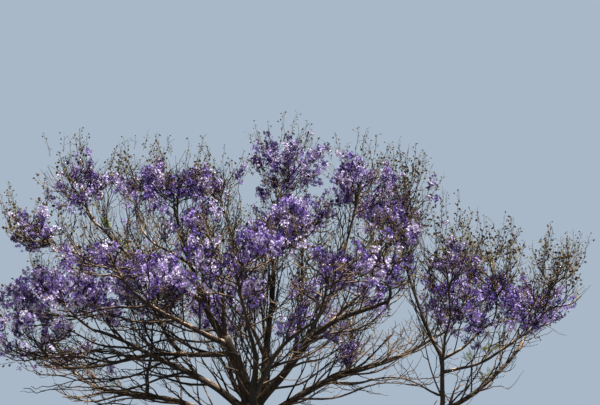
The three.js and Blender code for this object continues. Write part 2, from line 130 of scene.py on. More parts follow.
# The growing rule of the source, written again: trunk, boughs, spaces of the masses
trunkShape = {
    "forkHeight": 3.75, "sway": 0.028, "low": 0.322, "high": 0.286, "flare": 0.2, "flareHeight": 0.33,
    "lobes": 5, "lobeDepth": 0.11, "lobeTurn": 0.6, "broadLobe": 0.45, "broadTurn": 0.8, "leastLobe": 0.02,
    "swell": 0.044, "top": 3.87, "taperTop": 2.7, "swellSpan": 0.75,
}
limbRule = {"steps": 24, "wobble": 7, "waves": (9.5, 8), "firstSeed": 101, "seedStep": 17}
limbSteps = limbRule["steps"]
thickLimb = 0.09
rows = [
    # name, parent, share of the parent's length, heading, turn, rise, bend, length, base and tip
    # radius, and the mass's space: out, towards which heading, up, spread, height
    ("left_leader", "trunk", 0.965, -144, 0, 67, -8, 1.79, 0.17, 0.115, None),
    ("centre_leader", "trunk", 1, 49, 0, 50, 45, 1.34, 0.14, 0.1, None),
    ("right_leader", "trunk", 0.98, -42, 0, 44, -36, 4.51, 0.11, 0.035, (0.7, -102, 0.51, 1.15, 0.95)),
    ("low_right", "trunk", 0.78, -3, 24, -1, 40, 7.45, 0.115, 0.032, (0.87, 44, 1.03, 1, 0.9)),
    ("right_low", "trunk", 0.9, 30, -12, 28, -6, 6.3, 0.1, 0.032, (1.03, 34, 1.03, 1.4, 1.1)),
    ("front_centre", "trunk", 0.94, -85, -8, 30, -14, 3.83, 0.1, 0.03, (0.91, -102, 0.56, 1.3, 1)),
    ("left_swing", "trunk", 0.92, -165, 10, 42, -34, 4.31, 0.095, 0.03, (0.83, -149, 0.41, 1.35, 0.95)),
    ("left_base", "trunk", 0.86, 168, -25, 18, -6, 5.22, 0.095, 0.03, (1.31, 142, 0.6, 1.45, 1.05)),
    ("back_centre", "trunk", 0.88, 107, 0, 39, -14, 4.72, 0.105, 0.034, (0.84, 108, 1.12, 1.6, 1.2)),
    ("left_high", "left_leader", 1, -144, 0, 46, 28, 2.95, 0.092, 0.03, (0.22, -99, 0.9, 0.9, 1)),
    ("left_mid", "left_leader", 0.96, -134, 20, 5, 10, 3.2, 0.068, 0.028, (0.57, -137, 0.38, 1.25, 0.95)),
    ("left_low", "left_leader", 0.82, -172, -10, -5, -2, 3.88, 0.068, 0.028, (0.79, -164, 0.32, 1.2, 1)),
    ("inner_left", "left_leader", 0.98, -103, 10, 56, 15, 1.62, 0.055, 0.024, (0.45, -153, 0.81, 1.05, 1.05)),
    ("left_far", "left_high", 0.38, -156, -8, 20, 22, 3.15, 0.062, 0.025, (0.43, -166, 0.83, 0.95, 0.92)),
    ("left_arm", "left_far", 0.42, -144, 15, 5, -8, 2.31, 0.04, 0.02, (0.46, -155, 0.15, 0.85, 0.7)),
    ("left_crest", "left_high", 0.7, 137, 0, 26, 20, 3.15, 0.04, 0.022, (0.28, 135, 1.1, 0.9, 1.1)),
    ("left_back", "left_low", 0.3, 127, -20, 29, 14, 4.11, 0.052, 0.028, (0.86, 134, 1.34, 1.45, 1.2)),
    ("left_riser", "left_base", 0.6, -77, 0, 31, 14, 2.14, 0.05, 0.022, (0.84, -72, 0.4, 1.15, 0.95)),
    ("centre_spire", "centre_leader", 1, -65, 0, 78, 10, 3.46, 0.08, 0.028, (0.36, -18, 1.37, 1.05, 1.5)),
    ("centre_left", "centre_leader", 0.97, 155, 0, 63, 18, 3.51, 0.055, 0.024, (0.49, 178, 1.42, 0.9, 1)),
    ("back_crest", "centre_leader", 0.92, 96, 0, 43, 12, 2.94, 0.062, 0.028, (0.61, 100, 1.19, 1.45, 1.3)),
    ("right_up", "right_leader", 0.42, -28, 0, 57, 14, 3.03, 0.058, 0.025, (0.37, -33, 0.97, 0.95, 1.12)),
    ("centre_inner", "right_leader", 0.36, -63, 10, 70, 20, 2.25, 0.048, 0.022, (0.24, -64, 0.65, 1, 1.05)),
    ("right_crest", "right_leader", 0.6, 58, 10, 29, 14, 4.45, 0.052, 0.026, (0.67, 62, 1.13, 1.3, 1.15)),
    ("front_right", "front_centre", 0.2, -78, 26, 21, -6, 3.44, 0.07, 0.028, (1.02, -75, 0.53, 1.25, 1)),
    ("right_riser", "low_right", 0.62, -90, 0, 54, 20, 1.33, 0.056, 0.05, None),
    ("right_top", "right_riser", 1, -141, -10, 47, 40, 2.74, 0.048, 0.024, (0.16, 5, 1.18, 0.8, 1.12)),
    ("right_mid", "right_riser", 0.98, -92, 0, 15, 14, 1.86, 0.036, 0.02, (0.4, -102, 0.98, 1, 1.2)),
    ("right_inner", "right_riser", 0.95, -21, 0, 27, 12, 1.5, 0.036, 0.02, (0.18, 32, 1.31, 1.05, 1.25)),
    ("right_outer", "right_riser", 0.72, -21, 0, 9, 26, 2.38, 0.038, 0.022, (0.63, -9, 0.93, 0.88, 1.15)),
    ("back_right", "right_low", 0.42, 72, 20, 20, 10, 3.67, 0.062, 0.028, (0.8, 80, 0.83, 1.6, 1.15)),
]
fields = ("name", "parent", "at", "heading", "turn", "rise", "bend", "length", "base", "tip", "crown")
boughs = [dict(zip(fields, row)) for row in rows]


def randomFrom(seed):
    state = [seed & 0xFFFFFFFF]

    def draw():
        state[0] = (state[0] + 0x6D2B79F5) & 0xFFFFFFFF
        value = state[0]
        value = ((value ^ (value >> 15)) * (value | 1)) & 0xFFFFFFFF
        value ^= (value + (value ^ (value >> 7)) * (value | 61)) & 0xFFFFFFFF
        return ((value ^ (value >> 14)) & 0xFFFFFFFF) / 4294967296
    return draw


def mixSeed(seed, index):
    value = ((seed ^ ((index + 1) * 0x9E3779B1)) * 0x85EBCA6B) & 0xFFFFFFFF
    return value ^ (value >> 15)


# What is added to an index before mixSeed, one number for each use
seedFor = {
    "crook": 11, "end": 5, "fineArms": 77, "stemEnd": 99, "shoot": 20, "twiglet": 40, "twigletEnd": 60,
    "sideLimbs": 31, "sideLimb": 200, "whip": 60, "whipEnd": 300,
}


def towards(heading, rise):
    h = math.radians(heading)
    r = math.radians(rise)
    return Vector((math.cos(r) * math.cos(h), math.cos(r) * math.sin(h), math.sin(r)))


def mixed(a, b, t):
    return a + (b - a) * t


def share(value):
    return value - math.floor(value)


def along(points, t):
    place = min(max(t, 0), 1) * (len(points) - 1)
    index = min(len(points) - 2, int(place))
    return points[index].lerp(points[index + 1], place - index)


def directionAlong(points, t):
    place = min(max(t, 0), 1) * (len(points) - 1)
    index = min(len(points) - 2, int(place))
    return (points[index + 1] - points[index]).normalized()


def trunkCentre(z):
    return Vector((-trunkShape["sway"] * math.sin(2 * math.pi * z / trunkShape["forkHeight"]), 0, z))


def limbPath(start, limb, seed, steps=limbSteps, wobble=limbRule["wobble"]):
    draw = randomFrom(seed)
    headingPhase = draw() * 2 * math.pi
    risePhase = draw() * 2 * math.pi
    headingWave, riseWave = limbRule["waves"]
    points = [start.copy()]
    for i in range(steps):
        s = (i + 0.5) / steps
        sway = wobble * min(1, 4 * s)
        heading = limb["heading"] + limb["turn"] * s + sway * math.sin(headingWave * s + headingPhase)
        rise = limb["rise"] + limb["bend"] * s + sway * math.sin(riseWave * s + risePhase)
        points.append(points[-1] + towards(heading, rise) * (limb["length"] / steps))
    return points


def layLimbs():
    fork = trunkShape["forkHeight"]
    line = [trunkCentre(fork * i / limbSteps) for i in range(limbSteps + 1)]
    found = {"trunk": {
        "points": line, "base": trunkShape["low"], "tip": trunkShape["high"] + trunkShape["swell"],
    }}
    for index, bough in enumerate(boughs):
        start = along(found[bough["parent"]]["points"], bough["at"])
        seed = limbRule["firstSeed"] + limbRule["seedStep"] * index
        found[bough["name"]] = dict(bough, points=limbPath(start, bough, seed), seed=seed)
    return found


def layMasses():
    found = []
    for bough in boughs:
        if bough["crown"] is None:
            continue
        out, heading, lift, spread, height = bough["crown"]
        limb = limbs[bough["name"]]
        tip = limb["points"][-1]
        found.append({
            "bough": bough, "tip": tip, "forward": directionAlong(limb["points"], 1),
            "centre": tip + towards(heading, 0) * out + up * lift,
            "size": Vector((spread, spread, height)), "seed": mixSeed(limb["seed"], 0),
        })
    return found


def scaled(a, b):
    return Vector((a.x * b.x, a.y * b.y, a.z * b.z))


def portion(a, b):
    return Vector((a.x / b.x, a.y / b.y, a.z / b.z))


def reachTowards(mass, direction):
    return 1 / portion(direction, mass["size"]).length


# The planes that part a mass from its neighbours, as directions and distances from its centre
def wallsOf(mass):
    directions, offsets = [], []
    for other in masses:
        if other is mass:
            continue
        apart = other["centre"] - mass["centre"]
        distance = apart.length
        direction = apart / distance
        own = reachTowards(mass, direction)
        theirs = reachTowards(other, direction)
        if distance < own + theirs + 2 * wallMargin:
            directions.append(direction)
            offsets.append(distance * own / (own + theirs) - wallMargin)
    return np.array(directions), np.array(offsets)


limbs = layLimbs()
limbNames = list(limbs)
masses = layMasses()
wallMargin = 0.055
ownLimbRoom = 0.4
stemShape = {"seat": 0.0003, "above": 0.3, "lift": 0.7, "pieces": 9}
twigEase = 0.33


def twigLine(start, leaving, end, lift, pieces):
    run = end - start
    reach = run.length
    straight = run.normalized()
    first = (straight + leaving).normalized()
    last = (straight + up * lift).normalized()
    near = start + first * reach * twigEase
    far = end - last * reach * twigEase
    points = []
    for i in range(pieces + 1):
        t = i / pieces
        s = 1 - t
        points.append(start * s ** 3 + near * 3 * s * s * t + far * 3 * s * t * t + end * t ** 3)
    return points


# The same line with its inner points knocked a little aside, as twigs grow from bud to bud
def crooked(points, seed, depth):
    draw = randomFrom(mixSeed(seed, seedFor["crook"]))
    run = points[-1] - points[0]
    side = run.cross(up).normalized()
    across = run.cross(side).normalized()
    bent = [points[0]]
    for point in points[1:-1]:
        bent.append(point + (side * (draw() - 0.5) + across * (draw() - 0.5)) * depth * run.length)
    return bent + [points[-1]]


# Arrays of every straight piece of limb and stem, for keeping twigs clear of them
def segmentsOf(lines):
    starts, runs, owners, radii = [], [], [], []
    for owner, points, base, tip in lines:
        count = len(points) - 1
        for i in range(count):
            starts.append(points[i])
            runs.append(points[i + 1] - points[i])
            owners.append(owner)
            radii.append((mixed(base, tip, i / count), mixed(base, tip, (i + 1) / count)))
    return {
        "starts": np.array(starts), "runs": np.array(runs), "owners": np.array(owners),
        "radii": np.array(radii), "lengths": np.maximum((np.array(runs) ** 2).sum(1), 1e-12),
    }


def gapsTo(segments, points):
    offset = points[:, None, :] - segments["starts"][None]
    t = np.clip((offset * segments["runs"][None]).sum(2) / segments["lengths"][None], 0, 1)
    nearest = offset - t[..., None] * segments["runs"][None]
    radius = segments["radii"][None, :, 0] * (1 - t) + segments["radii"][None, :, 1] * t
    return np.sqrt((nearest ** 2).sum(2)) - radius


for index, mass in enumerate(masses):
    mass["index"] = index
    mass["own"] = limbNames.index(mass["bough"]["name"])
    mass["walls"] = wallsOf(mass)
    stemFoot = mass["tip"] + mass["forward"] * stemShape["seat"]
    stemHead = mass["centre"] + up * stemShape["above"] * mass["size"].z
    mass["stem"] = twigLine(stemFoot, mass["forward"], stemHead, stemShape["lift"], 3)
limbSegments = segmentsOf([
    (k, limbs[name]["points"], limbs[name]["base"], limbs[name]["tip"]) for k, name in enumerate(limbNames)
])
stemSegments = segmentsOf([
    (k, mass["stem"], mass["bough"]["tip"], mass["bough"]["tip"]) for k, mass in enumerate(masses)
])
massCentres = np.array([mass["centre"] for mass in masses])
massSizes = np.array([mass["size"] for mass in masses])


def depthIn(mass, points):
    return np.sqrt((((points - np.array(mass["centre"])) / np.array(mass["size"])) ** 2).sum(1))


def insideSpace(mass, points, margin=0.0, reach=1.0):
    inside = depthIn(mass, points) <= reach
    directions, offsets = mass["walls"]
    if len(offsets):
        offset = points - np.array(mass["centre"])
        inside &= (offset @ directions.T < offsets - np.reshape(margin, (-1, 1))).all(1)
    return inside


def clearOfLimbs(mass, points, clearance):
    rooms = np.reshape(clearance, (-1, 1))
    factor = np.where(limbSegments["owners"] == mass["own"], ownLimbRoom, 1.0)
    clear = (gapsTo(limbSegments, points) >= rooms * factor).all(1)
    others = stemSegments["owners"] != mass["index"]
    return clear & (gapsTo(stemSegments, points)[:, others] > rooms).all(1)


def placesAlong(points, count):
    return np.array([along(points, i / count) for i in range(1, count + 1)])


def twigAllowed(mass, points, clearance):
    places = placesAlong(points, 4 * (len(points) - 1))
    return insideSpace(mass, places).all() and clearOfLimbs(mass, places, clearance).all()


# Finer growth may pass the planes between masses, but never the reach of its own
def inReach(mass, points):
    return (depthIn(mass, points) <= 1).all()


print("limbs", len(limbs), "masses", len(masses))


# Twigs: the source's arms and shoots first, then more of them by the same rule and finer ones
twigGrowth = {
    "arms": 8, "crook": 0.1, "armReach": 0.56, "fineArmReach": (0.3, 0.66), "armFrom": 0.24, "armSpan": 0.6,
    "armLift": 0.8, "levelStep": 0.5698, "turnStep": 0.7549, "lowestRise": -0.42, "riseSpan": 1.34,
    "smallMass": 1.02, "shootTimes": (0.48, 0.8, 0.3, 0.64), "shootReach": 0.62, "shootSpread": 0.12,
    "fineShootReach": (0.4, 0.74), "shootLift": 0.9, "shootAside": 0.5, "shootAsideSpan": 0.4,
    "shootRiseSpan": 0.7, "shootDroop": 0.15,
    "twigletTimes": (0.45, 0.75), "twigletLength": (0.22, 0.46), "twigletLift": 0.6, "twigletOnward": 0.7,
    "twigletAside": 0.5, "twigletAsideSpan": 0.6, "twigletRiseSpan": 0.9, "twigletDroop": 0.1,
    "clearance": 0.06, "fineClearance": 0.03, "fineChecks": 8,
    "stemBase": 0.97, "stemTip": 0.022, "sunk": 0.1,
    "armRadii": (0.02, 0.013), "shootRadii": (0.012, 0.008), "twigletRadii": (0.008, 0.005),
}
# How much of each mass flowers, and how that changes with height; the lowest twigs are bare
bloomShares = {
    "right_outer": 0.42, "right_inner": 0.44, "right_mid": 0.46, "right_top": 0.42, "centre_spire": 0.42,
}
usualBloomShare = 0.48
bloomZone = {
    "clump": 1.9, "clumpDepth": 0.5, "chance": 0.3, "lowest": 3.9, "full": 4.8, "lowLess": 0.5,
    "topShare": 0.3, "topMost": 0.6, "mainShare": 0.2, "flowers": 0.5, "pods": 0.22,
    "podded": 0.3, "highPods": 0.6, "podFrom": (0.75, 0.4),
    "sideLess": 0.1, "sideLowLess": 0.6, "sidePods": 0.3,
}
# Places in the photograph: pixel across and down, radius in pixels, and what is added
# to the flowering there. First the clumps of flowers, then the bare and open places.
flowerSpots = [
    (88, 186, 16, 0.9), (86, 198, 12, 0.6), (42, 195, 11, 0.8), (66, 201, 11, 0.8), (125, 190, 15, 0.5),
    (142, 197, 16, 0.4), (165, 192, 20, 0.7), (200, 186, 18, 0.5), (212, 205, 14, 0.45),
    (302, 186, 16, 1.4), (24, 246, 16, 0.9), (40, 238, 16, 0.4), (78, 232, 10, 0.1), (60, 268, 20, 0.7),
    (100, 268, 20, 1.0), (145, 277, 18, 0.9), (185, 272, 18, 0.8), (195, 240, 16, 0.3), (30, 300, 26, 0.9),
    (75, 306, 24, 1.0), (50, 312, 20, 0.9), (108, 300, 14, 0.2), (98, 264, 14, 1.2), (42, 308, 22, 0.6),
    (125, 313, 15, 0.6), (165, 316, 12, 0.5), (180, 288, 14, 0.9), (230, 297, 24, 1.6), (212, 268, 16, 0.4),
    (266, 170, 10, 0.2), (310, 170, 16, 0.4), (256, 190, 11, 0.5), (262, 230, 20, 0.8), (292, 226, 18, 1.0),
    (352, 186, 18, 1.2), (340, 188, 14, 1.2), (385, 214, 20, 0.7), (410, 228, 16, 0.7), (378, 282, 20, 1.1),
    (338, 270, 18, 1.9), (378, 267, 15, 1.2), (290, 333, 15, 1.3), (342, 343, 18, 2.0),
    (450, 276, 20, 0.35), (485, 302, 24, 0.7), (462, 312, 18, 1.0), (510, 306, 18, 0.6),
    (556, 310, 18, 1.0), (535, 318, 14, 0.8), (20, 372, 14, 0.4), (60, 375, 16, 0.4), (118, 378, 16, 0.6),
    (425, 290, 18, 0.45), (430, 310, 12, 0.4), (298, 288, 10, 0.3), (255, 288, 12, 0.5),
    (352, 158, 12, 0.4), (84, 172, 13, 0.8), (36, 238, 14, 0.6), (446, 262, 14, 0.6), (126, 188, 12, 0.5),
    (160, 174, 11, 0.6), (264, 154, 13, 0.6), (312, 153, 14, 0.7),
]
bareSpots = [
    (140, 293, 10, -0.4), (342, 305, 14, -0.8), (28, 340, 20, -0.9), (100, 168, 14, -1.4),
    (140, 162, 16, -1.4), (182, 163, 16, -1.3), (218, 165, 16, -1.7), (333, 163, 10, -0.9),
    (306, 246, 11, -0.7), (388, 259, 12, -0.6), (135, 246, 15, -1.2), (260, 134, 13, -1.1),
    (302, 131, 13, -0.9), (375, 158, 16, -0.7), (420, 188, 14, -1), (30, 207, 16, -1), (60, 228, 18, -1.2),
    (98, 227, 18, -1.9), (137, 217, 20, -0.7), (112, 240, 10, -0.6), (168, 248, 10, -0.8),
    (228, 225, 20, -1.3), (245, 190, 13, -1), (225, 250, 14, -0.6), (300, 262, 16, -0.9),
    (325, 235, 17, -0.9), (346, 242, 24, -1.1), (380, 252, 16, -1.2), (425, 248, 18, -1.2),
    (35, 176, 12, -0.8), (335, 165, 8, -1), (285, 126, 22, -0.7), (362, 318, 20, -0.9), (75, 348, 26, -0.7),
    (160, 350, 45, -0.7), (250, 360, 45, -0.7), (330, 385, 40, -0.7), (430, 372, 42, -0.7),
    (440, 230, 13, -0.8), (470, 240, 20, -0.5), (512, 238, 26, -0.7), (545, 262, 18, -1.3),
    (536, 290, 13, -0.8), (22, 268, 14, -0.7), (594, 275, 18, -1.6), (560, 345, 30, -0.8),
    (412, 160, 16, -0.5), (120, 158, 18, -0.5), (57, 166, 18, -1.2), (180, 152, 24, -0.5),
    (390, 150, 16, -0.4), (230, 150, 18, -0.4),
]


# Where the twigs carry dry pods instead of flowers: pixel across and down, and radius
podSpots = [
    (412, 178, 20), (442, 228, 20), (495, 250, 24), (530, 252, 22), (566, 270, 18), (385, 165, 12),
    (222, 160, 14), (120, 168, 12), (385, 258, 14),
]


# Limbs that the photograph shows in front of the flowers, and how much of each
shownLimbs = {
    "left_leader": 1, "left_high": 0.8, "left_far": 0.25, "left_mid": 0.5, "left_crest": 0.5,
    "inner_left": 0.5, "centre_leader": 1, "centre_spire": 0.7, "centre_left": 0.6, "right_leader": 0.9,
    "right_up": 0.75, "centre_inner": 0.5, "right_riser": 1, "right_top": 0.6, "right_outer": 0.6,
    "right_mid": 0.5,
}
shownRoom = {"pieces": 16, "radius": 0.24, "less": 1.1}
openGaps = {
    "scale": 1.4, "fine": 3.3, "depth": 0.45, "fineDepth": 0.8, "bare": -0.34,
    "spray": 5.4, "sprayBare": -0.1, "lessInClumps": 0.24,
    "wideSlice": 4.7, "fineSlice": 9.1, "spraySlice": 2.6,
}


# Where a point lies on the upright plane through the trunk as the viewer sees it
def onPicturePlane(point):
    eye = cameraPlace["place"]
    nearer = -eye[1] / (point.y - eye[1])
    return eye[0] + (point.x - eye[0]) * nearer, eye[2] + (point.z - eye[2]) * nearer


def shownLimbPoints():
    found = []
    for name, part in shownLimbs.items():
        for k in range(shownRoom["pieces"] + 1):
            point = along(limbs[name]["points"], part * k / shownRoom["pieces"])
            found.append((*onPicturePlane(point), point.y))
    return np.array(found)


shownPoints = shownLimbPoints()


# Small gaps that run on through the depth of the crown, so that it stays open between the sprays
def gapScore(across, height):
    g = openGaps
    wide = noise.noise(Vector((across * g["scale"], g["wideSlice"], height * g["scale"])))
    fine = noise.noise(Vector((across * g["fine"], g["fineSlice"], height * g["fine"])))
    return g["depth"] * wide + g["fineDepth"] * fine


# Finer gaps that part one small spray from the next
def sprayOpen(point, bare):
    g = openGaps
    across, height = onPicturePlane(Vector(point))
    return noise.noise(Vector((across * g["spray"], g["spraySlice"], height * g["spray"]))) < bare


# Spots of the picture laid on that plane: metres across and up, radius in metres, and what is added
def spotsOnPlane(spots):
    eye = cameraPlace["place"]
    focal = picture["width"] * cameraPlace["lens"] / cameraPlace["sensor"]
    rise = math.radians(cameraPlace["lookUp"])
    found = []
    for u, v, radius, *added in spots:
        a = (u - picture["width"] / 2) / focal
        b = (picture["height"] / 2 - v) / focal
        far = -eye[1] / (math.cos(rise) - b * math.sin(rise))
        height = eye[2] + (math.sin(rise) + b * math.cos(rise)) * far
        found.append((eye[0] + a * far, height, radius * far / focal, *added))
    return found


planeClumps = spotsOnPlane(flowerSpots + bareSpots)
planePods = spotsOnPlane(podSpots)


def carriesPods(point):
    across, height = onPicturePlane(point)
    return any(math.hypot(across - x, height - z) < radius for x, z, radius in planePods)


def clumpScore(across, height):
    return sum(
        added * math.exp(-((across - x) ** 2 + (height - z) ** 2) / (radius * radius))
        for x, z, radius, added in planeClumps
    )


def zoneScore(point):
    across, height = onPicturePlane(point)
    score = clumpScore(across, height) + gapScore(across, height)
    behind = shownPoints[shownPoints[:, 2] > point.y]
    if len(behind):
        gap = ((behind[:, :2] - (across, height)) ** 2).sum(1).min()
        score -= shownRoom["less"] * math.exp(-gap / shownRoom["radius"] ** 2)
    return score


panicleLengths = (0.84, 0.74, 0.65, 0.56, 0.48, 0.4, 0.33)
smallPanicles = (0.48, 0.4, 0.33, 0.26)
lines = {"limbsAndStems": [], "sideLimbs": [], "twigs": [], "whips": [], "stalks": [], "podStalks": []}
sprays = {"blossom": [], "pod": [], "bud": [], "leaf": []}
sunward = towards(-56, 60)


def addLine(kind, points, first, last, sunk=0.0):
    if sunk:
        points = [points[0] - (points[1] - points[0]).normalized() * sunk] + points[1:]
    count = len(points) - 1
    lines[kind].append((np.array(points), [mixed(first, last, k / count) for k in range(count + 1)]))


def unit(vectors):
    return vectors / np.maximum(np.linalg.norm(vectors, axis=-1, keepdims=True), 1e-9)


panicleRoom = {"width": 0.24, "places": (0, 0.36, 0.7, 1), "outline": (0.15, 1, 0.55, 0), "clearance": 0.015}


# The longest panicle that keeps to the mass's space and clear of the limbs
def panicleFit(mass, end, forward, lengths, reach):
    r = panicleRoom
    for length in lengths:
        places = np.array([end + forward * (k * length) for k in r["places"]])
        rooms = np.array(r["outline"]) * (r["width"] * length)
        fits = insideSpace(mass, places, rooms, reach).all()
        if fits and clearOfLimbs(mass, places, rooms + r["clearance"]).all():
            return length
    return None


panicle = {
    "sideFrom": (0.31, 0.95, 0.05), "bow": 0.06, "axisPlaces": (0, 0.33, 0.66, 0.97),
    "axisRadii": (0.007, 0.004), "branchletSpacing": 0.115, "fewest": 4, "branchletRadii": (0.0045, 0.003),
    "width": 0.2, "outline": ((0, 0.36, 1), (0.4, 1, 0.12)), "uneven": (0.7, 1.15), "least": 0.035,
    "slope": 0.85, "lift": 0.15, "scatter": 0.16,
    "blossoms": 8, "blossomSpan": (0.3, 1.08), "spanSpread": 0.1, "blossomSize": (0.062, 0.092),
    "clump": 0.045, "outward": 0.9, "onward": 0.45, "tilt": -0.12, "toneSpread": 1.2,
    "budShare": 0.3, "budSize": (0.022, 0.034), "budLift": 0.4,
    "pods": 2, "podShare": 0.8, "podSize": (0.05, 0.07), "podScatter": 0.5, "podHang": 0.3, "podBack": 0.3,
    "podTones": 3, "dryBelow": 0.2,
}
seedMask = 0xFFFFFF


def addSprays(kind, places, facing, size, tones):
    sprays[kind].append(np.column_stack((places, facing, size, tones)))


# One panicle: an upright axis, branchlets round it in a spindle, and what they carry
def growPanicle(root, forward, length, seed, podFrom, tone):
    p = panicle
    draw = np.random.default_rng(seed & seedMask)
    forward = np.array(forward)
    root = np.array(root)
    side = unit(np.cross(forward, np.array(p["sideFrom"])))
    across = np.cross(forward, side)
    aside, back = draw.uniform(-p["bow"], p["bow"], 2)
    bow = side * aside * length + across * back * length

    def axisAt(s):
        s = np.atleast_1d(s)[:, None]
        return root + forward * s * length + bow * np.sin(np.pi * s)

    kind = "podStalks" if podFrom < p["dryBelow"] else "stalks"
    places = np.array(p["axisPlaces"])
    lines[kind].append((axisAt(places), list(np.linspace(*p["axisRadii"], len(places)))))
    count = max(p["fewest"], round(length / p["branchletSpacing"]))
    s = (np.arange(count) + 0.5) / (count + 0.1)
    reach = p["width"] * length * np.interp(s, *p["outline"])
    reach = reach * draw.uniform(*p["uneven"], count) + p["least"]
    angle = np.arange(count) * goldenAngle + draw.uniform(0, 6.28)
    out = np.cos(angle)[:, None] * side + np.sin(angle)[:, None] * across
    heading = out + forward * p["slope"] + np.array((0, 0, p["lift"]))
    heading = unit(heading + draw.normal(0, p["scatter"], (count, 3)))
    starts = axisAt(s)
    ends = starts + heading * reach[:, None]
    for pair in zip(starts, ends):
        lines[kind].append((np.array(pair), list(p["branchletRadii"])))
    clump = max(0, clumpScore(*onPicturePlane(Vector(root + forward * length * 0.5))))
    bare = openGaps["sprayBare"] - openGaps["lessInClumps"] * clump
    podded = s > podFrom
    flowering = np.array([k for k in np.nonzero(~podded)[0] if not sprayOpen(ends[k], bare)], dtype=int)
    carrying = np.nonzero(podded)[0]
    if len(flowering):
        layBlossoms(draw, flowering, starts, ends, heading, reach, tone)
    if len(carrying):
        layPods(draw, carrying, ends, heading, reach)


# Blossoms in a loose clump along each branchlet, and buds at the tips of some
def layBlossoms(draw, flowering, starts, ends, heading, reach, tone):
    p = panicle
    each = p["blossoms"]
    rows = np.repeat(flowering, each)
    u = np.tile(np.linspace(*p["blossomSpan"], each), len(flowering))
    u = u + draw.uniform(-p["spanSpread"], p["spanSpread"], len(rows))
    spread = unit(draw.normal(0, 1, (len(rows), 3)))
    places = starts[rows] + heading[rows] * (reach[rows] * u)[:, None]
    places += spread * draw.uniform(0, p["clump"], (len(rows), 1))
    facing = unit(spread * p["outward"] + heading[rows] * p["onward"] + np.array((0, 0, p["tilt"])))
    size = draw.uniform(*p["blossomSize"], len(rows))
    sprayTone = tone + draw.normal(0, p["toneSpread"], len(flowering))
    addSprays("blossom", places, facing, size, np.repeat(sprayTone, each))
    budded = flowering[draw.uniform(0, 1, len(flowering)) < p["budShare"]]
    if len(budded):
        facing = unit(heading[budded] + np.array((0, 0, p["budLift"])))
        size = draw.uniform(*p["budSize"], len(budded))
        addSprays("bud", ends[budded], facing, size, np.zeros(len(budded)))


# Seed capsules that hang from the ends of dry branchlets, one tone to each
def layPods(draw, carrying, ends, heading, reach):
    p = panicle
    rows = np.repeat(carrying, p["pods"])
    rows = rows[draw.uniform(0, 1, len(rows)) < p["podShare"]]
    facing = heading[rows] + draw.normal(0, p["podScatter"], (len(rows), 3))
    facing = unit(facing - np.array((0, 0, p["podHang"])))
    places = ends[rows] - heading[rows] * (reach[rows] * draw.uniform(0, p["podBack"], len(rows)))[:, None]
    size = draw.uniform(*p["podSize"], len(rows))
    addSprays("pod", places, facing, size, draw.integers(0, p["podTones"], len(ends))[rows])


podTip = {
    "length": (0.22, 0.55), "bow": 0.03, "radii": (0.0055, 0.0045, 0.003), "often": 0.75, "above": 0.25,
    "spacing": 0.062, "uneven": (0.3, 0.9), "stalk": (0.04, 0.13), "stalkRadii": (0.0035, 0.0025),
    "around": 0.8, "lean": 0.7, "pods": 2, "share": 0.6, "size": (0.03, 0.046), "scatter": 0.6, "hang": 0.3,
}
crownMargin = 0.22
# Share of a panicle's length from which it carries pods instead of flowers
noPods = 1.1
onlyPods = 0.08


# A bare whip above the flowers, with up to two seed capsules on each short side stalk
def growTip(root, forward, length, seed):
    p = podTip
    draw = np.random.default_rng(seed & seedMask)
    end = root + forward * length
    if (end < np.array(cadBox[0]) - crownMargin).any() or (end > np.array(cadBox[1]) + crownMargin).any():
        return
    side = unit(np.cross(forward, draw.normal(0, 1, 3)))
    lines["podStalks"].append((np.array((root, (root + end) / 2 + side * p["bow"], end)), list(p["radii"])))
    count = round(length / p["spacing"])
    s = (np.arange(count) + draw.uniform(*p["uneven"], count)) / count
    heading = unit(unit(draw.normal(0, 1, (count, 3))) * p["around"] + forward * p["lean"])
    starts = root + forward * (s * length)[:, None]
    ends = starts + heading * draw.uniform(*p["stalk"], (count, 1))
    for pair in zip(starts, ends):
        lines["podStalks"].append((np.array(pair), list(p["stalkRadii"])))
    rows = np.repeat(np.arange(count), p["pods"])
    rows = rows[draw.uniform(0, 1, len(rows)) < p["share"]]
    facing = unit(heading[rows] + draw.normal(0, p["scatter"], (len(rows), 3)) - np.array((0, 0, p["hang"])))
    size = draw.uniform(*p["size"], len(rows))
    addSprays("pod", ends[rows], facing, size, draw.integers(0, panicle["podTones"], len(rows)))


# Painted light and shade on the blossoms' tones: how much paler the sunward side of a mass is, and how much
# deeper the far right
toneRule = {
    "lit": 0.7, "patchScale": 0.9, "patchFrom": (7, 3, 1), "patch": 1.1, "chance": 0.8,
    "shaded": 0.5, "shadedFrom": 3.5, "shadedOver": 2,
}


# Which colour a spray's blossoms take, as painted light and shade: paler towards the light, deeper inside,
# below and far right, where shade falls on the crown
def toneOf(mass, place, draw):
    r = toneRule
    lit = portion(place - mass["centre"], mass["size"]).dot(sunward)
    shaded = r["shaded"] * min(1, max(0, (place.x - r["shadedFrom"]) / r["shadedOver"]))
    patch = noise.noise(place * r["patchScale"] + Vector(r["patchFrom"]))
    return shaded - r["lit"] * lit + r["patch"] * patch + r["chance"] * (draw() - 0.5)


# How readily an end flowers, and how high it stands in its mass
def flowerScore(mass, end, middle, draw, less, lowLess, more):
    z = bloomZone
    low = min(1, max(0, (z["full"] - end.z) / (z["full"] - z["lowest"])))
    score = bloomShares.get(mass["bough"]["name"], usualBloomShare) - less - lowLess * low
    score += z["clumpDepth"] * noise.noise(end * z["clump"]) + z["chance"] * (draw() - 0.5)
    score += zoneScore(middle)
    score += more
    high = (end.z - mass["centre"].z) / mass["size"].z
    return score + z["topShare"] * min(max(high, -1), z["topMost"]), high


twigEnd = {
    "lift": (0.3, 1.2), "reach": (0.95, 1.3), "highFrom": 0.5, "highPods": 0.6,
    "bareChance": 0.5, "bareLength": 0.7, "bareRadii": (0.006, 0.004), "whipLift": 0.6, "whipFrom": 0.9,
}


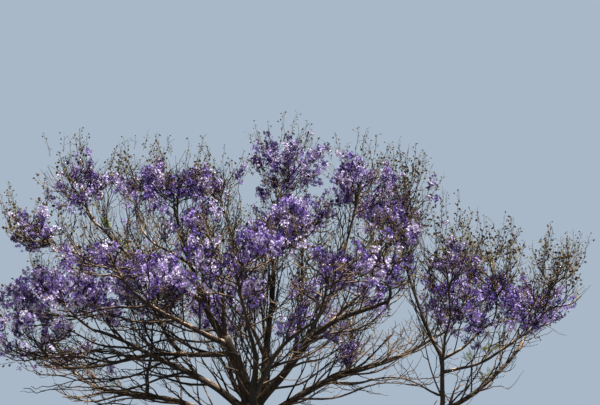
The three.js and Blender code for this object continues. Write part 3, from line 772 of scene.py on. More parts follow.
# What a twig of the source's rule ends in: a panicle of flowers or pods, often with a whip above it,
# or a bare stalk or nothing
def endTwig(mass, end, forward, seed, lengths):
    z, e = bloomZone, twigEnd
    draw = randomFrom(mixSeed(seed, seedFor["end"]))
    forward = (forward + up * mixed(*e["lift"], draw())).normalized()
    length = panicleFit(mass, end, forward, lengths, mixed(*e["reach"], draw()))
    if length is None:
        return
    more = z["mainShare"] if lengths is panicleLengths else 0
    score, high = flowerScore(mass, end, end + forward * length * 0.5, draw, 0, z["lowLess"], more)
    if score > z["flowers"]:
        podFrom = mixed(*z["podFrom"], min(1, max(0, high)))
        if draw() > z["podded"] + z["highPods"] * high:
            podFrom = noPods
        growPanicle(end, forward, length, seed, podFrom, toneOf(mass, end, draw))
    elif score > z["pods"] or (high > e["highFrom"] and draw() < e["highPods"]) or carriesPods(end):
        growPanicle(end, forward, length, seed, onlyPods, 0)
    elif draw() < e["bareChance"]:
        stalk = np.array((end, end + forward * length * e["bareLength"]))
        lines["stalks"].append((stalk, list(e["bareRadii"])))
        return
    if high > podTip["above"] and draw() < podTip["often"]:
        whip = (forward + up * e["whipLift"]).normalized()
        root = np.array(end + forward * length * e["whipFrom"])
        growTip(root, np.array(whip), mixed(*podTip["length"], draw()), seed + 7)


def growthAllowed(mass, points, fromSource):
    if fromSource:
        return twigAllowed(mass, points, twigGrowth["clearance"])
    places = placesAlong(points, twigGrowth["fineChecks"])
    clear = clearOfLimbs(mass, places, twigGrowth["fineClearance"]).all()
    return inReach(mass, places) and clear


# A twig that has room, grown crooked, with what it ends in
def growTwig(mass, plain, line, seed, crook, radii, fromSource):
    if not growthAllowed(mass, plain, fromSource):
        return None
    line = crooked(line, seed, crook)
    addLine("twigs", line, *radii)
    endTwig(mass, plain[-1], directionAlong(plain, 1), seed, panicleLengths if fromSource else smallPanicles)
    return line


def growMass(mass):
    g = twigGrowth
    draw = randomFrom(mass["seed"])
    around = draw()
    firstLevel = draw()
    fine = randomFrom(mixSeed(mass["seed"], seedFor["fineArms"]))
    sourceArms = 4 if mass["size"].x < g["smallMass"] else 5
    stem = mass["stem"]
    stemLine = twigLine(stem[0], mass["forward"], stem[-1], stemShape["lift"], stemShape["pieces"])
    addLine("limbsAndStems", stemLine, g["stemBase"] * mass["bough"]["tip"], g["stemTip"], g["sunk"])
    stemSeed = mixSeed(mass["seed"], seedFor["stemEnd"])
    endTwig(mass, stem[-1], directionAlong(stem, 1), stemSeed, panicleLengths)
    for k in range(g["arms"]):
        fromSource = k < sourceArms
        level = share(firstLevel + k * g["levelStep"])
        rise = math.degrees(math.asin(g["lowestRise"] + g["riseSpan"] * level))
        facing = towards(360 * share(around + k * g["turnStep"]), rise)
        reach = g["armReach"] if fromSource else mixed(*g["fineArmReach"], fine())
        end = mass["centre"] + scaled(facing, mass["size"]) * reach
        t = g["armFrom"] + g["armSpan"] * level
        leaving = directionAlong(stem, t)
        arm, smooth = [twigLine(along(stem, t), leaving, end, g["armLift"], n) for n in (2, 6)]
        seed = mixSeed(mass["seed"], k + 1)
        line = growTwig(mass, arm, smooth, seed, 0.5 * g["crook"], g["armRadii"], fromSource)
        if line:
            growShoots(mass, facing, arm, line, seed, fromSource)


def growShoots(mass, armFacing, arm, armLine, armSeed, armFromSource):
    g = twigGrowth
    for j, t in enumerate(g["shootTimes"]):
        draw = randomFrom(mixSeed(armSeed, j))
        fromSource = armFromSource and j < 2
        side = armFacing.cross(up).normalized()
        hand = 1 if j % 2 == 0 else -1
        facing = armFacing + side * hand * (g["shootAside"] + g["shootAsideSpan"] * draw())
        facing = (facing + up * (g["shootRiseSpan"] * draw() - g["shootDroop"])).normalized()
        reach = g["shootReach"] + g["shootSpread"] * draw()
        if not fromSource:
            reach = mixed(*g["fineShootReach"], draw())
        end = mass["centre"] + scaled(facing, mass["size"]) * reach
        shoot = twigLine(along(arm, t), directionAlong(arm, t), end, g["shootLift"], 1)
        smooth = twigLine(along(armLine, t), directionAlong(armLine, t), end, g["shootLift"], 5)
        seed = mixSeed(armSeed, j + seedFor["shoot"])
        line = growTwig(mass, shoot, smooth, seed, g["crook"], g["shootRadii"], fromSource)
        if line:
            growTwiglets(mass, line, seed)


def growTwiglets(mass, line, shootSeed):
    g = twigGrowth
    for j, t in enumerate(g["twigletTimes"]):
        draw = randomFrom(mixSeed(shootSeed, j + seedFor["twiglet"]))
        leaving = directionAlong(line, t)
        side = leaving.cross(up).normalized() * (1 if draw() < 0.5 else -1)
        aside = g["twigletAside"] + g["twigletAsideSpan"] * draw()
        rise = g["twigletRiseSpan"] * draw() - g["twigletDroop"]
        facing = (leaving * g["twigletOnward"] + side * aside + up * rise).normalized()
        start = along(line, t)
        end = start + facing * mixed(*g["twigletLength"], draw())
        places = np.array([start.lerp(end, 0.5), end])
        if not (inReach(mass, places) and clearOfLimbs(mass, places, g["fineClearance"]).all()):
            continue
        addLine("whips", twigLine(start, leaving, end, g["twigletLift"], 2), *g["twigletRadii"])
        endTwig(mass, end, facing, mixSeed(shootSeed, j + seedFor["twigletEnd"]), smallPanicles)


for mass in masses:
    growMass(mass)
print("panicled masses", len(masses), "twigs", len(lines["twigs"]), "stalks", len(lines["stalks"]))


# Side limbs along every bough, their own branches and whips: the fine net under the flowers
sideGrowth = {
    "spacing": 0.3, "from": 0.13, "to": 0.98, "offset": 0.1, "offsetSpan": 0.8, "length": (0.8, 1.9),
    "lengthAlong": (1.15, 0.6), "spread": (24, 58), "turn": 34,
    "steepShare": 0.7, "rise": (0, 42), "bend": 22,
    "steps": 9, "fewestPoints": 4, "radiusShare": 0.42, "thickest": 0.026, "tip": 0.01,
    "room": 0.015, "roomChecks": (0.4, 0.7, 1), "nearLimb": 1.0, "lowest": 3.6,
    "branchTimes": (0.34, 0.58, 0.82), "branchLength": (0.4, 0.95), "branchRadii": (0.012, 0.0075),
    "whipTimes": (0.35, 0.65), "whipLength": (0.22, 0.55), "whipRadii": (0.0075, 0.005),
    "crook": 0.16, "branchOnward": 0.7, "whipOnward": 0.4, "aside": (0.15, 0.9), "lowLift": (-0.3, 0.45),
    "highLift": (-0.1, 0.9), "highFrom": 5.6, "tipLift": 0.25, "endLift": 0.45,
    "branchPieces": 5, "whipPieces": 3, "flowerDepth": 1.6, "flowerFrom": 3.9,
    "panicle": (0.26, 0.5), "panicleLift": 0.4, "podded": 0.4, "podFrom": 0.7, "dryFrom": 0.1,
}
# Half of the whips are left out in the middle, and low on the left, where the photograph is open
openParts = {"middle": 1.8, "middleBelow": 6.6, "leftOf": 1.2, "leftBelow": 5.2, "less": 0.5}


# Long thin side limbs that the photograph shows one by one, low on the left and through the middle:
# bough, share of its length, heading, turn, rise, bend and length
longLimbs = [
    ("left_swing", 0.6, 178, 12, -2, 12, 2.9), ("left_swing", 0.72, -172, -14, 10, 6, 2.8),
    ("left_low", 0.42, 172, 10, -12, 18, 3.0), ("left_low", 0.6, -166, 12, -16, 30, 2.5),
    ("left_base", 0.52, 172, -14, 12, 4, 2.8), ("left_base", 0.8, 178, 10, -4, 22, 2.2),
    ("left_mid", 0.5, -168, 8, -6, 6, 2.6), ("left_mid", 0.8, 178, -10, -10, 14, 2.3),
    ("inner_left", 0.2, -168, 12, -2, 8, 2.3), ("left_low", 0.28, 176, -8, -16, 10, 3.2),
    ("left_base", 0.35, 178, -18, 10, -2, 3.0), ("right_low", 0.25, -4, 8, 26, 2, 2.8),
    ("right_low", 0.6, -12, 16, 22, 4, 2.4), ("low_right", 0.42, 60, -20, 34, 6, 2.2),
    ("right_leader", 0.15, 16, -10, 14, 20, 2.6), ("low_right", 0.55, 40, 16, 22, 10, 2.6),
    ("low_right", 0.72, 40, -16, 24, 14, 1.6), ("right_low", 0.45, -20, 12, 30, 4, 2.6),
    ("front_right", 0.4, -30, 14, 16, 10, 2.2), ("front_centre", 0.3, -30, -14, 22, 8, 2.4),
    ("right_riser", 0.3, 170, 14, 18, 18, 2.0), ("low_right", 0.35, -20, -8, 4, 8, 2.8),
    ("low_right", 0.5, 24, -14, 8, 14, 1.8), ("low_right", 0.2, 14, -10, 6, 6, 2.8),
    ("left_base", 0.5, 176, 6, -6, 4, 3.0), ("left_base", 0.28, -172, 8, 0, -4, 3.2),
    ("left_base", 0.72, -176, -10, -8, 10, 2.4), ("left_swing", 0.45, 178, 10, -12, 8, 3.0),
    ("left_swing", 0.3, -178, 14, 0, 0, 3.2), ("right_leader", 0.3, 20, 10, 24, 10, 2.2),
    ("right_leader", 0.5, 8, -12, 18, 14, 2.4), ("low_right", 0.3, 24, -10, 16, 12, 2.4),
    ("right_low", 0.4, -8, 14, 10, 16, 2.4), ("right_low", 0.2, -14, 10, 2, 8, 3.2),
    ("right_low", 0.3, -30, 20, 8, 8, 2.6), ("right_low", 0.35, 12, -16, -4, 14, 2.6),
    ("low_right", 0.12, 16, -10, 26, -8, 3.0), ("right_low", 0.15, -34, 14, 8, 0, 2.8),
    ("low_right", 0.25, 30, -20, 24, 4, 2.6), ("left_swing", 0.3, 172, 8, 22, -10, 3.2),
    ("left_mid", 0.1, 176, 6, -8, 6, 3.2), ("left_low", 0.1, 174, 8, 16, -8, 3.4),
    ("left_swing", 0.2, 176, -8, 30, -16, 3.4),
]
longLimb = {
    "seed": 7001, "base": 0.032, "wobble": 15, "steps": 14, "branchTimes": (0.25, 0.4, 0.55, 0.7, 0.85),
}


def inCrown(points):
    offset = points[:, None, :] - massCentres[None]
    inside = (np.sqrt(((offset / massSizes[None]) ** 2).sum(2)) < 1).any(1)
    near = (gapsTo(limbSegments, points) < sideGrowth["nearLimb"]).any(1)
    return (inside | near) & (points[:, 2] > sideGrowth["lowest"])


def hasRoom(owner, points):
    others = limbSegments["owners"] != owner
    return inCrown(points).all() and (gapsTo(limbSegments, points)[:, others] > sideGrowth["room"]).all()


def massAround(point):
    depth = np.sqrt((((np.array(point) - massCentres) / massSizes) ** 2).sum(1))
    nearest = int(depth.argmin())
    return masses[nearest], depth[nearest]


def growSideLimbs(index, bough):
    g = sideGrowth
    limb = limbs[bough["name"]]
    draw = randomFrom(mixSeed(limb["seed"], seedFor["sideLimbs"]))
    count = round(bough["length"] * (1 - g["from"]) / g["spacing"])
    for i in range(count):
        t = mixed(g["from"], g["to"], (i + g["offset"] + g["offsetSpan"] * draw()) / count)
        direction = directionAlong(limb["points"], t)
        hand = 1 if i % 2 else -1
        steep = math.degrees(math.asin(direction.z))
        facing = math.degrees(math.atan2(direction.y, direction.x))
        grown = {
            "heading": facing + hand * mixed(*g["spread"], draw()),
            "turn": -hand * g["turn"] * draw(), "rise": g["steepShare"] * steep + mixed(*g["rise"], draw()),
            "bend": g["bend"], "length": mixed(*g["length"], draw()) * mixed(*g["lengthAlong"], t),
        }
        seed = mixSeed(limb["seed"], seedFor["sideLimb"] + i)
        radius = min(g["thickest"], g["radiusShare"] * mixed(limb["base"], limb["tip"], t))
        line = limbPath(along(limb["points"], t), grown, seed, g["steps"])
        growSideLimb(index + 1, line, radius, seed, g["branchTimes"])


# One side limb, cut back to where it has room, with its branches and their whips
def growSideLimb(owner, line, radius, seed, branchTimes):
    g = sideGrowth
    while len(line) > g["fewestPoints"] and not hasRoom(owner, np.array(line[2:])):
        line = line[:-2]
    if len(line) <= g["fewestPoints"]:
        return
    addLine("sideLimbs", line, radius, g["tip"])
    for j, s in enumerate((*branchTimes, 1.0)):
        branch = growBranch(line, s, j, seed, g["branchLength"], g["branchRadii"])
        if branch is None:
            continue
        whipSeed = mixSeed(seed, seedFor["whip"] + j)
        for k, u in enumerate((*g["whipTimes"], 1.0)):
            growBranch(branch, u, k, whipSeed, g["whipLength"], g["whipRadii"], True)


def inOpenPart(root):
    middle = math.hypot(root.x, root.y) < openParts["middle"] and root.z < openParts["middleBelow"]
    return middle or (root.z < openParts["leftBelow"] and root.x < openParts["leftOf"])


# A branch of a side limb, or a whip that ends one
def growBranch(line, t, number, parentSeed, lengths, radii, isWhip=False):
    g = sideGrowth
    draw = randomFrom(mixSeed(parentSeed, number))
    leaving = directionAlong(line, t)
    side = leaving.cross(up).normalized() * (1 if number % 2 else -1)
    lift = mixed(*(g["lowLift"] if line[0].z < g["highFrom"] else g["highLift"]), draw())
    onward = g["whipOnward"] if isWhip else g["branchOnward"]
    facing = (leaving * onward + side * mixed(*g["aside"], draw()) + up * lift).normalized()
    if isWhip and inOpenPart(line[0]) and draw() < openParts["less"]:
        return None
    if t == 1:
        facing = (leaving + up * g["tipLift"]).normalized()
    start = along(line, t)
    end = start + facing * mixed(*lengths, draw())
    if not hasRoom(-1, np.array([start.lerp(end, place) for place in g["roomChecks"]])):
        return None
    if isWhip and gapScore(*onPicturePlane(end)) < openGaps["bare"]:
        return None
    plain = twigLine(start, leaving, end, g["endLift"], g["whipPieces" if isWhip else "branchPieces"])
    branch = crooked(plain, mixSeed(parentSeed, number), g["crook"])
    addLine("whips" if isWhip else "twigs", branch, *radii)
    if isWhip:
        mass, depth = massAround(end)
        if depth < g["flowerDepth"] and end.z > g["flowerFrom"]:
            endWhip(mass, end, facing, mixSeed(parentSeed, seedFor["whipEnd"] + number))
    return branch


# A flowering end on a side limb: short, and wherever the clumps of the crown flower
def endWhip(mass, end, forward, seed):
    z, g = bloomZone, sideGrowth
    draw = randomFrom(mixSeed(seed, seedFor["end"]))
    forward = (forward + up * g["panicleLift"]).normalized()
    length = mixed(*g["panicle"], draw())
    middle = end + forward * length * 0.5
    if not hasRoom(-1, np.array([middle, end + forward * length])):
        return
    score = flowerScore(mass, end, middle, draw, z["sideLess"], z["sideLowLess"], 0)[0]
    if score > z["flowers"]:
        podFrom = g["podFrom"] if draw() < g["podded"] else noPods
        growPanicle(end, forward, length, seed, podFrom, toneOf(mass, end, draw))
    elif score > z["sidePods"] or carriesPods(end):
        growPanicle(end, forward, length, seed, g["dryFrom"], 0)


for index, bough in enumerate(boughs):
    growSideLimbs(index, bough)
for k, (name, at, heading, turn, rise, bend, length) in enumerate(longLimbs):
    grown = {"heading": heading, "turn": turn, "rise": rise, "bend": bend, "length": length}
    seed = mixSeed(longLimb["seed"], k)
    line = limbPath(along(limbs[name]["points"], at), grown, seed, longLimb["steps"], longLimb["wobble"])
    growSideLimb(limbNames.index(name) + 1, line, longLimb["base"], seed, longLimb["branchTimes"])
print("with side limbs", {kind: len(kept) for kind, kept in lines.items()})


# Small flowering sprigs that stand on the limbs below the flowering crown
lowSprigs = {
    "places": [
        ("front_right", 0.72, 4), ("front_right", 0.8, 4), ("right_leader", 0.4, 3), ("back_right", 0.2, 4),
        ("back_right", 0.32, 5), ("back_right", 0.45, 5), ("right_inner", 0.45, 3), ("right_inner", 0.6, 5),
        ("right_inner", 0.75, 4), ("right_mid", 0.5, 3), ("left_far", 0.2, 3), ("left_far", 0.35, 4),
        ("right_outer", 0.86, 4), ("right_outer", 0.97, 5),
    ],
    "seed": 700, "panicleSeed": 7300, "stem": (0.05, 0.24), "stemRadii": (0.009, 0.006), "lean": 0.4,
    # The sprigs' tones lean deeper: painted shade under the crown
    "upright": (0.1, 0, 0.75), "uneven": 0.02, "panicle": (0.3, 0.46), "tone": 0.5, "toneSpread": 0.5,
}


def growSprigs(setting):
    for k, (name, t, count) in enumerate(setting["places"]):
        draw = np.random.default_rng(setting["seed"] + k)
        root = np.array(along(limbs[name]["points"], t))
        for j in range(count):
            lean = unit(draw.normal(0, setting["lean"], 3) + np.array(setting["upright"]))
            end = root + lean * draw.uniform(*setting["stem"])
            middle = (root + end) / 2 + draw.normal(0, setting["uneven"], 3)
            addLine("whips", [Vector(root), Vector(middle), Vector(end)], *setting["stemRadii"])
            tone = setting["tone"] + draw.normal(0, setting["toneSpread"])
            seed = setting["panicleSeed"] + 20 * k + j
            growPanicle(end, lean, draw.uniform(*setting["panicle"]), seed, noPods, tone)


growSprigs(lowSprigs)


# A few tufts of young yellow-green leaves, on the limbs where the photograph shows them
youngTufts = {
    "places": [
        ("left_far", 0.9, 10), ("left_far", 0.7, 6), ("centre_leader", 0.25, 8), ("centre_inner", 0.2, 5),
        ("right_outer", 0.55, 9), ("right_outer", 0.3, 6), ("low_right", 0.82, 8), ("right_low", 0.92, 8),
        ("front_centre", 0.35, 5), ("left_base", 0.8, 6), ("back_centre", 0.7, 8), ("back_right", 0.5, 8),
    ],
    "seed": 900, "stalks": 3, "lean": 0.5, "upright": (0, 0, 0.9), "sunk": (0, 0, 0.02),
    "stalkLength": 0.22, "stalkRadii": (0.006, 0.004), "from": 0.3, "scatter": 0.7, "size": (0.1, 0.17),
}


def growTufts(setting):
    for k, (name, t, count) in enumerate(setting["places"]):
        draw = np.random.default_rng(setting["seed"] + k)
        limb = limbs[name]
        root = np.array(along(limb["points"], t))
        root[2] += mixed(limb["base"], limb["tip"], t)
        for j in range(setting["stalks"]):
            lean = unit(draw.normal(0, setting["lean"], 3) + np.array(setting["upright"]))
            end = root + lean * setting["stalkLength"]
            stalk = np.array((root - np.array(setting["sunk"]), end))
            lines["stalks"].append((stalk, list(setting["stalkRadii"])))
            facing = unit(draw.normal(0, setting["scatter"], (count, 3)) + lean)
            places = root + lean * draw.uniform(setting["from"], 1, (count, 1)) * setting["stalkLength"]
            addSprays("leaf", places, facing, draw.uniform(*setting["size"], count), np.full(count, j % 2))


growTufts(youngTufts)


# Trunk and thick boughs: one skin fused at the forks, with the bark's relief
woodShape = {
    "voxel": 0.0245, "blend": 0.03, "collar": 0.3, "collarReach": 0.22, "below": 0.12, "cut": 0.001,
    "fissureDepth": 0.011, "fissureWidth": 0.05, "fissureStretch": 0.26, "limbFissures": 0.4,
    "calmBelow": 0.5, "knotDepth": 0.006, "knotScale": 3.1, "domeFrom": 3.6, "domeLeast": 0.02,
    "roundTo": 3.68,
    "ridgeSlope": 2.6, "ridgeShare": 0.8, "fineScale": 2.3, "fineFrom": (5.2, 1.7, 8.8), "fineShare": 0.45,
    "level": 0.5, "rounds": 4, "pull": 0.05,
}
# The rough tubes that are fused: the heights of the trunk's rings, radii and sides
roughShape = {
    "heights": (0, 0.1, 0.25, 0.45, 0.8, 1.3, 1.9, 2.5, 2.9, 3.2, 3.5, 3.7), "trunkShare": 0.97,
    "trunkAngle": 0.3, "topRadius": 0.12, "trunkSides": 24, "thinnest": 0.034, "limbSides": 12,
}
woodLimbs = [bough["name"] for bough in boughs if bough["base"] >= thickLimb]


def trunkRadius(z, angle):
    t = trunkShape
    taper = t["low"] + (t["high"] - t["low"]) * np.clip(z / t["taperTop"], 0, 1)
    flare = t["flare"] * np.exp(-np.maximum(z, 0) / t["flareHeight"])
    s = np.clip((z - t["taperTop"]) / t["swellSpan"], 0, 1)
    lobe = np.cos(t["lobes"] * angle + t["lobeTurn"]) + t["broadLobe"] * np.cos(2 * angle - t["broadTurn"])
    depth = t["lobeDepth"] * np.exp(-np.maximum(z, 0) / (2 * t["flareHeight"])) + t["leastLobe"]
    return (taper + flare + t["swell"] * s * s * (3 - 2 * s)) * (1 + depth * lobe)


# A closed tube with a ring of points round each point of a line
def roughTube(points, radii, sides):
    vertices, faces = [], []
    side = None
    for k, point in enumerate(points):
        forward = (points[min(len(points) - 1, k + 1)] - points[max(0, k - 1)]).normalized()
        if side is None:
            side = forward.orthogonal()
        side = (side - forward * side.dot(forward)).normalized()
        across = forward.cross(side)
        for i in range(sides):
            angle = 2 * math.pi * i / sides
            vertices.append(point + (side * math.cos(angle) + across * math.sin(angle)) * radii[k])
    for k in range(len(points) - 1):
        for i in range(sides):
            j = (i + 1) % sides
            a, b = k * sides, (k + 1) * sides
            faces.append((a + i, a + j, b + j, b + i))
    faces.append(tuple(reversed(range(sides))))
    faces.append(tuple(range((len(points) - 1) * sides, len(points) * sides)))
    return vertices, faces


def roughWood():
    vertices, faces = [], []

    def put(part):
        start = len(vertices)
        vertices.extend(part[0])
        faces.extend(tuple(start + i for i in face) for face in part[1])

    r = roughShape
    heights = [-woodShape["below"], *r["heights"]]
    points = [trunkCentre(z) for z in heights] + [Vector((0, 0, trunkShape["top"]))]
    radii = [r["trunkShare"] * float(trunkRadius(z, r["trunkAngle"])) for z in heights] + [r["topRadius"]]
    put(roughTube(points, radii, r["trunkSides"]))
    for name in woodLimbs:
        limb = limbs[name]
        radii = [mixed(limb["base"], limb["tip"], k / limbSteps) for k in range(limbSteps + 1)]
        put(roughTube(limb["points"], [max(r["thinnest"], radius) for radius in radii], r["limbSides"]))
    piece = linkObject("roughWood", meshFrom("roughWood", vertices, faces))
    remesh = piece.modifiers.new("fuse", "REMESH")
    remesh.mode = "VOXEL"
    remesh.voxel_size = woodShape["voxel"]
    return piece


# The evaluated mesh of a carrier object, which is then taken away with its modifiers
def bake(piece, name):
    graph = bpy.context.evaluated_depsgraph_get()
    mesh = bpy.data.meshes.new_from_object(piece.evaluated_get(graph), depsgraph=graph)
    mesh.name = name
    piece.modifiers.clear()
    old = piece.data
    bpy.data.objects.remove(piece)
    bpy.data.meshes.remove(old)
    return mesh


# Distance to a limb's middle line, the way out from it, and the place along it
def limbDistance(points, limb):
    line = np.array(limb["points"])
    best = np.full(len(points), 1e9)
    away = np.zeros_like(points)
    place = np.zeros(len(points))
    for k in range(limbSteps):
        run = line[k + 1] - line[k]
        offset = points - line[k]
        t = np.clip(offset @ run / (run @ run), 0, 1)
        nearest = offset - t[:, None] * run
        distance = np.linalg.norm(nearest, axis=1)
        closer = distance < best
        best[closer] = distance[closer]
        away[closer] = nearest[closer]
        place[closer] = (k + t[closer]) / limbSteps
    return best, away, place


def trunkDistance(points):
    t, w = trunkShape, woodShape
    z = points[:, 2]
    centre = np.column_stack((-t["sway"] * np.sin(2 * np.pi * z / t["forkHeight"]), 0 * z, z))
    away = points - centre
    angle = np.arctan2(away[:, 1], away[:, 0])
    rise = np.maximum(z - w["domeFrom"], 0) / (t["top"] - w["domeFrom"])
    dome = np.sqrt(np.clip(1 - rise ** 2, w["domeLeast"], 1))
    return np.linalg.norm(away, axis=1), away, trunkRadius(np.minimum(z, w["roundTo"]), angle) * dome


# Distance to the fused skin and its outward direction, which limb is nearest, and each point's place
# along and round that limb, in which the bark's fissures run
def woodField(points):
    w = woodShape
    distance, away, radius = trunkDistance(points)
    values, directions, spaces = [distance - radius], [unit(away)], [points]
    for name in woodLimbs:
        limb = limbs[name]
        distance, away, place = limbDistance(points, limb)
        radius = limb["base"] + (limb["tip"] - limb["base"]) * place
        radius = radius * (1 + w["collar"] * np.exp(-place * limb["length"] / w["collarReach"]))
        values.append(distance - radius)
        directions.append(unit(away))
        tangent = unit(np.array(limb["points"][-1]) - np.array(limb["points"][0]))
        axis = np.array((tangent[1], -tangent[0], 0))
        turn = away * tangent[2] + np.cross(axis, away) + axis * (away @ axis)[:, None] / (1 + tangent[2])
        spaces.append(np.column_stack((turn[:, 0], turn[:, 1], place * limb["length"] + 7 * len(values))))
    values = np.array(values)
    low = values.min(0)
    weights = np.exp(-(values - low) / w["blend"])
    field = low - w["blend"] * np.log(weights.sum(0))
    direction = unit((weights[..., None] * np.array(directions)).sum(0))
    nearest = values.argmin(0)
    return field, direction, nearest, np.array(spaces)[nearest, np.arange(len(points))]


# Ridges and furrows drawn out along the limb, with finer unevenness on them
def fissure(space):
    w = woodShape
    width = w["fissureWidth"]
    place = Vector((space[0] / width, space[1] / width, space[2] / width * w["fissureStretch"]))
    ridge = 1 - abs(noise.noise(place)) * w["ridgeSlope"]
    fine = noise.noise(place * w["fineScale"] + Vector(w["fineFrom"]))
    return ridge * w["ridgeShare"] + fine * w["fineShare"] - w["level"]


def reliefAt(point, space, onTrunk):
    w = woodShape
    depth = w["fissureDepth"] if onTrunk else w["limbFissures"] * w["fissureDepth"]
    return depth * fissure(space) + w["knotDepth"] * noise.noise(Vector(point) * w["knotScale"])


# The rough skin pulled onto the smooth one in a few rounds, then carved and cut level at the ground
def carveWood():
    w = woodShape
    mesh = bake(roughWood(), "trunkAndBoughs")
    points = np.zeros(len(mesh.vertices) * 3)
    mesh.vertices.foreach_get("co", points)
    points = points.reshape(-1, 3)
    for _ in range(w["rounds"]):
        field, direction, _, _ = woodField(points)
        points = points - direction * np.clip(field, -w["pull"], w["pull"])[:, None]
    _, direction, nearest, spaces = woodField(points)
    reliefs = np.array([reliefAt(points[k], spaces[k], nearest[k] == 0) for k in range(len(points))])
    above = np.clip(points[:, 2] / w["calmBelow"], 0, 1)
    points = points + direction * (reliefs * (0.5 + 0.5 * above))[:, None]
    mesh.vertices.foreach_set("co", points.ravel())
    mesh.update()
    mesh.attributes.new("barkSpace", "FLOAT_VECTOR", "POINT").data.foreach_set("vector", spaces.ravel())
    cutAtGround(mesh)
    mesh.polygons.foreach_set("use_smooth", [True] * len(mesh.polygons))
    return mesh


def cutAtGround(mesh):
    work = bmesh.new()
    work.from_mesh(mesh)
    cut = bmesh.ops.bisect_plane(
        work, geom=work.verts[:] + work.edges[:] + work.faces[:], plane_co=(0, 0, woodShape["cut"]),
        plane_no=(0, 0, -1), clear_outer=True,
    )
    rim = [e for e in cut["geom_cut"] if isinstance(e, bmesh.types.BMEdge)]
    bmesh.ops.holes_fill(work, edges=rim, sides=0)
    bmesh.ops.recalc_face_normals(work, faces=work.faces[:])
    work.to_mesh(mesh)
    work.free()


# A Geometry Nodes tree with the inputs named here, and each input's identifier
def startTree(name, inputs):
    tree = bpy.data.node_groups.new(name, "GeometryNodeTree")
    sockets = {}
    for label, kind in inputs.items():
        made = tree.interface.new_socket(label, in_out="INPUT", socket_type="NodeSocket" + kind)
        sockets[label] = made.identifier
    tree.interface.new_socket("Geometry", in_out="OUTPUT", socket_type="NodeSocketGeometry")
    return tree, sockets, addNode(tree, "NodeGroupInput").outputs


def attributeOf(tree, name, kind="FLOAT"):
    node = addNode(tree, "GeometryNodeInputNamedAttribute", {"Name": name}, data_type=kind)
    return node.outputs["Attribute"]


def mathOf(tree, operation, *values):
    return addNode(tree, "ShaderNodeMath", dict(enumerate(values)), operation=operation).outputs[0]


def realAndDressed(tree, geometry, finish):
    real = addNode(tree, "GeometryNodeRealizeInstances", {"Geometry": geometry}).outputs["Geometry"]
    dressed = addNode(tree, "GeometryNodeSetMaterial", {"Geometry": real, "Material": finish})
    return dressed.outputs["Geometry"]


# Skins lines of known girth as closed tubes with a slightly uneven skin
def skinTree():
    tree, sockets, given = startTree("skinTwigs", {
        "Geometry": "Geometry", "Sides": "Int", "Relief": "Float", "Grain": "Float", "Finish": "Material",
    })
    curve = addNode(tree, "GeometryNodeMeshToCurve", {"Mesh": given["Geometry"]})
    ring = addNode(tree, "GeometryNodeCurvePrimitiveCircle", {"Resolution": given["Sides"], "Radius": 1.0})
    skin = addNode(tree, "GeometryNodeCurveToMesh", {
        "Curve": curve.outputs["Curve"], "Profile Curve": ring.outputs["Curve"],
        "Scale": attributeOf(tree, "girth"), "Fill Caps": True,
    })
    bumps = addNode(tree, "ShaderNodeTexNoise", {"Scale": given["Grain"], "Detail": 2.0}).outputs[0]
    depth = mathOf(tree, "MULTIPLY", mathOf(tree, "SUBTRACT", bumps, 0.5), given["Relief"])
    normal = addNode(tree, "GeometryNodeInputNormal").outputs["Normal"]
    offset = addNode(tree, "ShaderNodeVectorMath", {0: normal, "Scale": depth}, operation="SCALE")
    uneven = addNode(tree, "GeometryNodeSetPosition", {
        "Geometry": skin.outputs["Mesh"], "Offset": offset.outputs["Vector"],
    })
    made = realAndDressed(tree, uneven.outputs["Geometry"], given["Finish"])
    addNode(tree, "NodeGroupOutput", {"Geometry": made})
    return tree, sockets


fullTurn = 6.283


# Stands one small shape on each point, faced, sized and spun, and makes them real
def layTree():
    tree, sockets, given = startTree("laySprays", {
        "Geometry": "Geometry", "Shape": "Object", "Seed": "Int",
        "Finish": "Material", "Inner finish": "Material",
    })
    shown = addNode(tree, "GeometryNodeObjectInfo", {"Object": given["Shape"]})
    facing = attributeOf(tree, "facing", "FLOAT_VECTOR")
    aimed = addNode(tree, "FunctionNodeAlignRotationToVector", {"Vector": facing}, axis="Z")
    spin = addNode(tree, "FunctionNodeRandomValue", {
        2: 0.0, 3: fullTurn, "Seed": given["Seed"],
    }, data_type="FLOAT")
    turned = addNode(tree, "FunctionNodeAxisAngleToRotation", {"Axis": (0, 0, 1), "Angle": spin.outputs[1]})
    spun = addNode(tree, "FunctionNodeRotateRotation", {
        0: aimed.outputs[0], 1: turned.outputs[0],
    }, rotation_space="LOCAL")
    laid = addNode(tree, "GeometryNodeInstanceOnPoints", {
        "Points": given["Geometry"], "Instance": shown.outputs["Geometry"],
        "Rotation": spun.outputs[0], "Scale": attributeOf(tree, "size"),
    })
    made = realAndDressed(tree, laid.outputs["Instances"], given["Finish"])
    inside = mathOf(tree, "GREATER_THAN", attributeOf(tree, "inner"), 0.5)
    lined = addNode(tree, "GeometryNodeSetMaterial", {
        "Geometry": made, "Selection": inside, "Material": given["Inner finish"],
    })
    addNode(tree, "NodeGroupOutput", {"Geometry": lined.outputs["Geometry"]})
    return tree, sockets


skinTwigs = skinTree()
laySprays = layTree()


# An object of bare points or lines with what the tree reads from them
def carrier(vertices, attributes, edges=()):
    mesh = bpy.data.meshes.new("carrier")
    mesh.vertices.add(len(vertices))
    mesh.vertices.foreach_set("co", vertices.ravel())
    mesh.edges.add(len(edges))
    if len(edges):
        mesh.edges.foreach_set("vertices", edges.ravel())
    for name, values in attributes.items():
        kind, field = ("FLOAT", "value") if values.ndim == 1 else ("FLOAT_VECTOR", "vector")
        mesh.attributes.new(name, kind, "POINT").data.foreach_set(field, values.ravel())
    return linkObject("carrier", mesh)


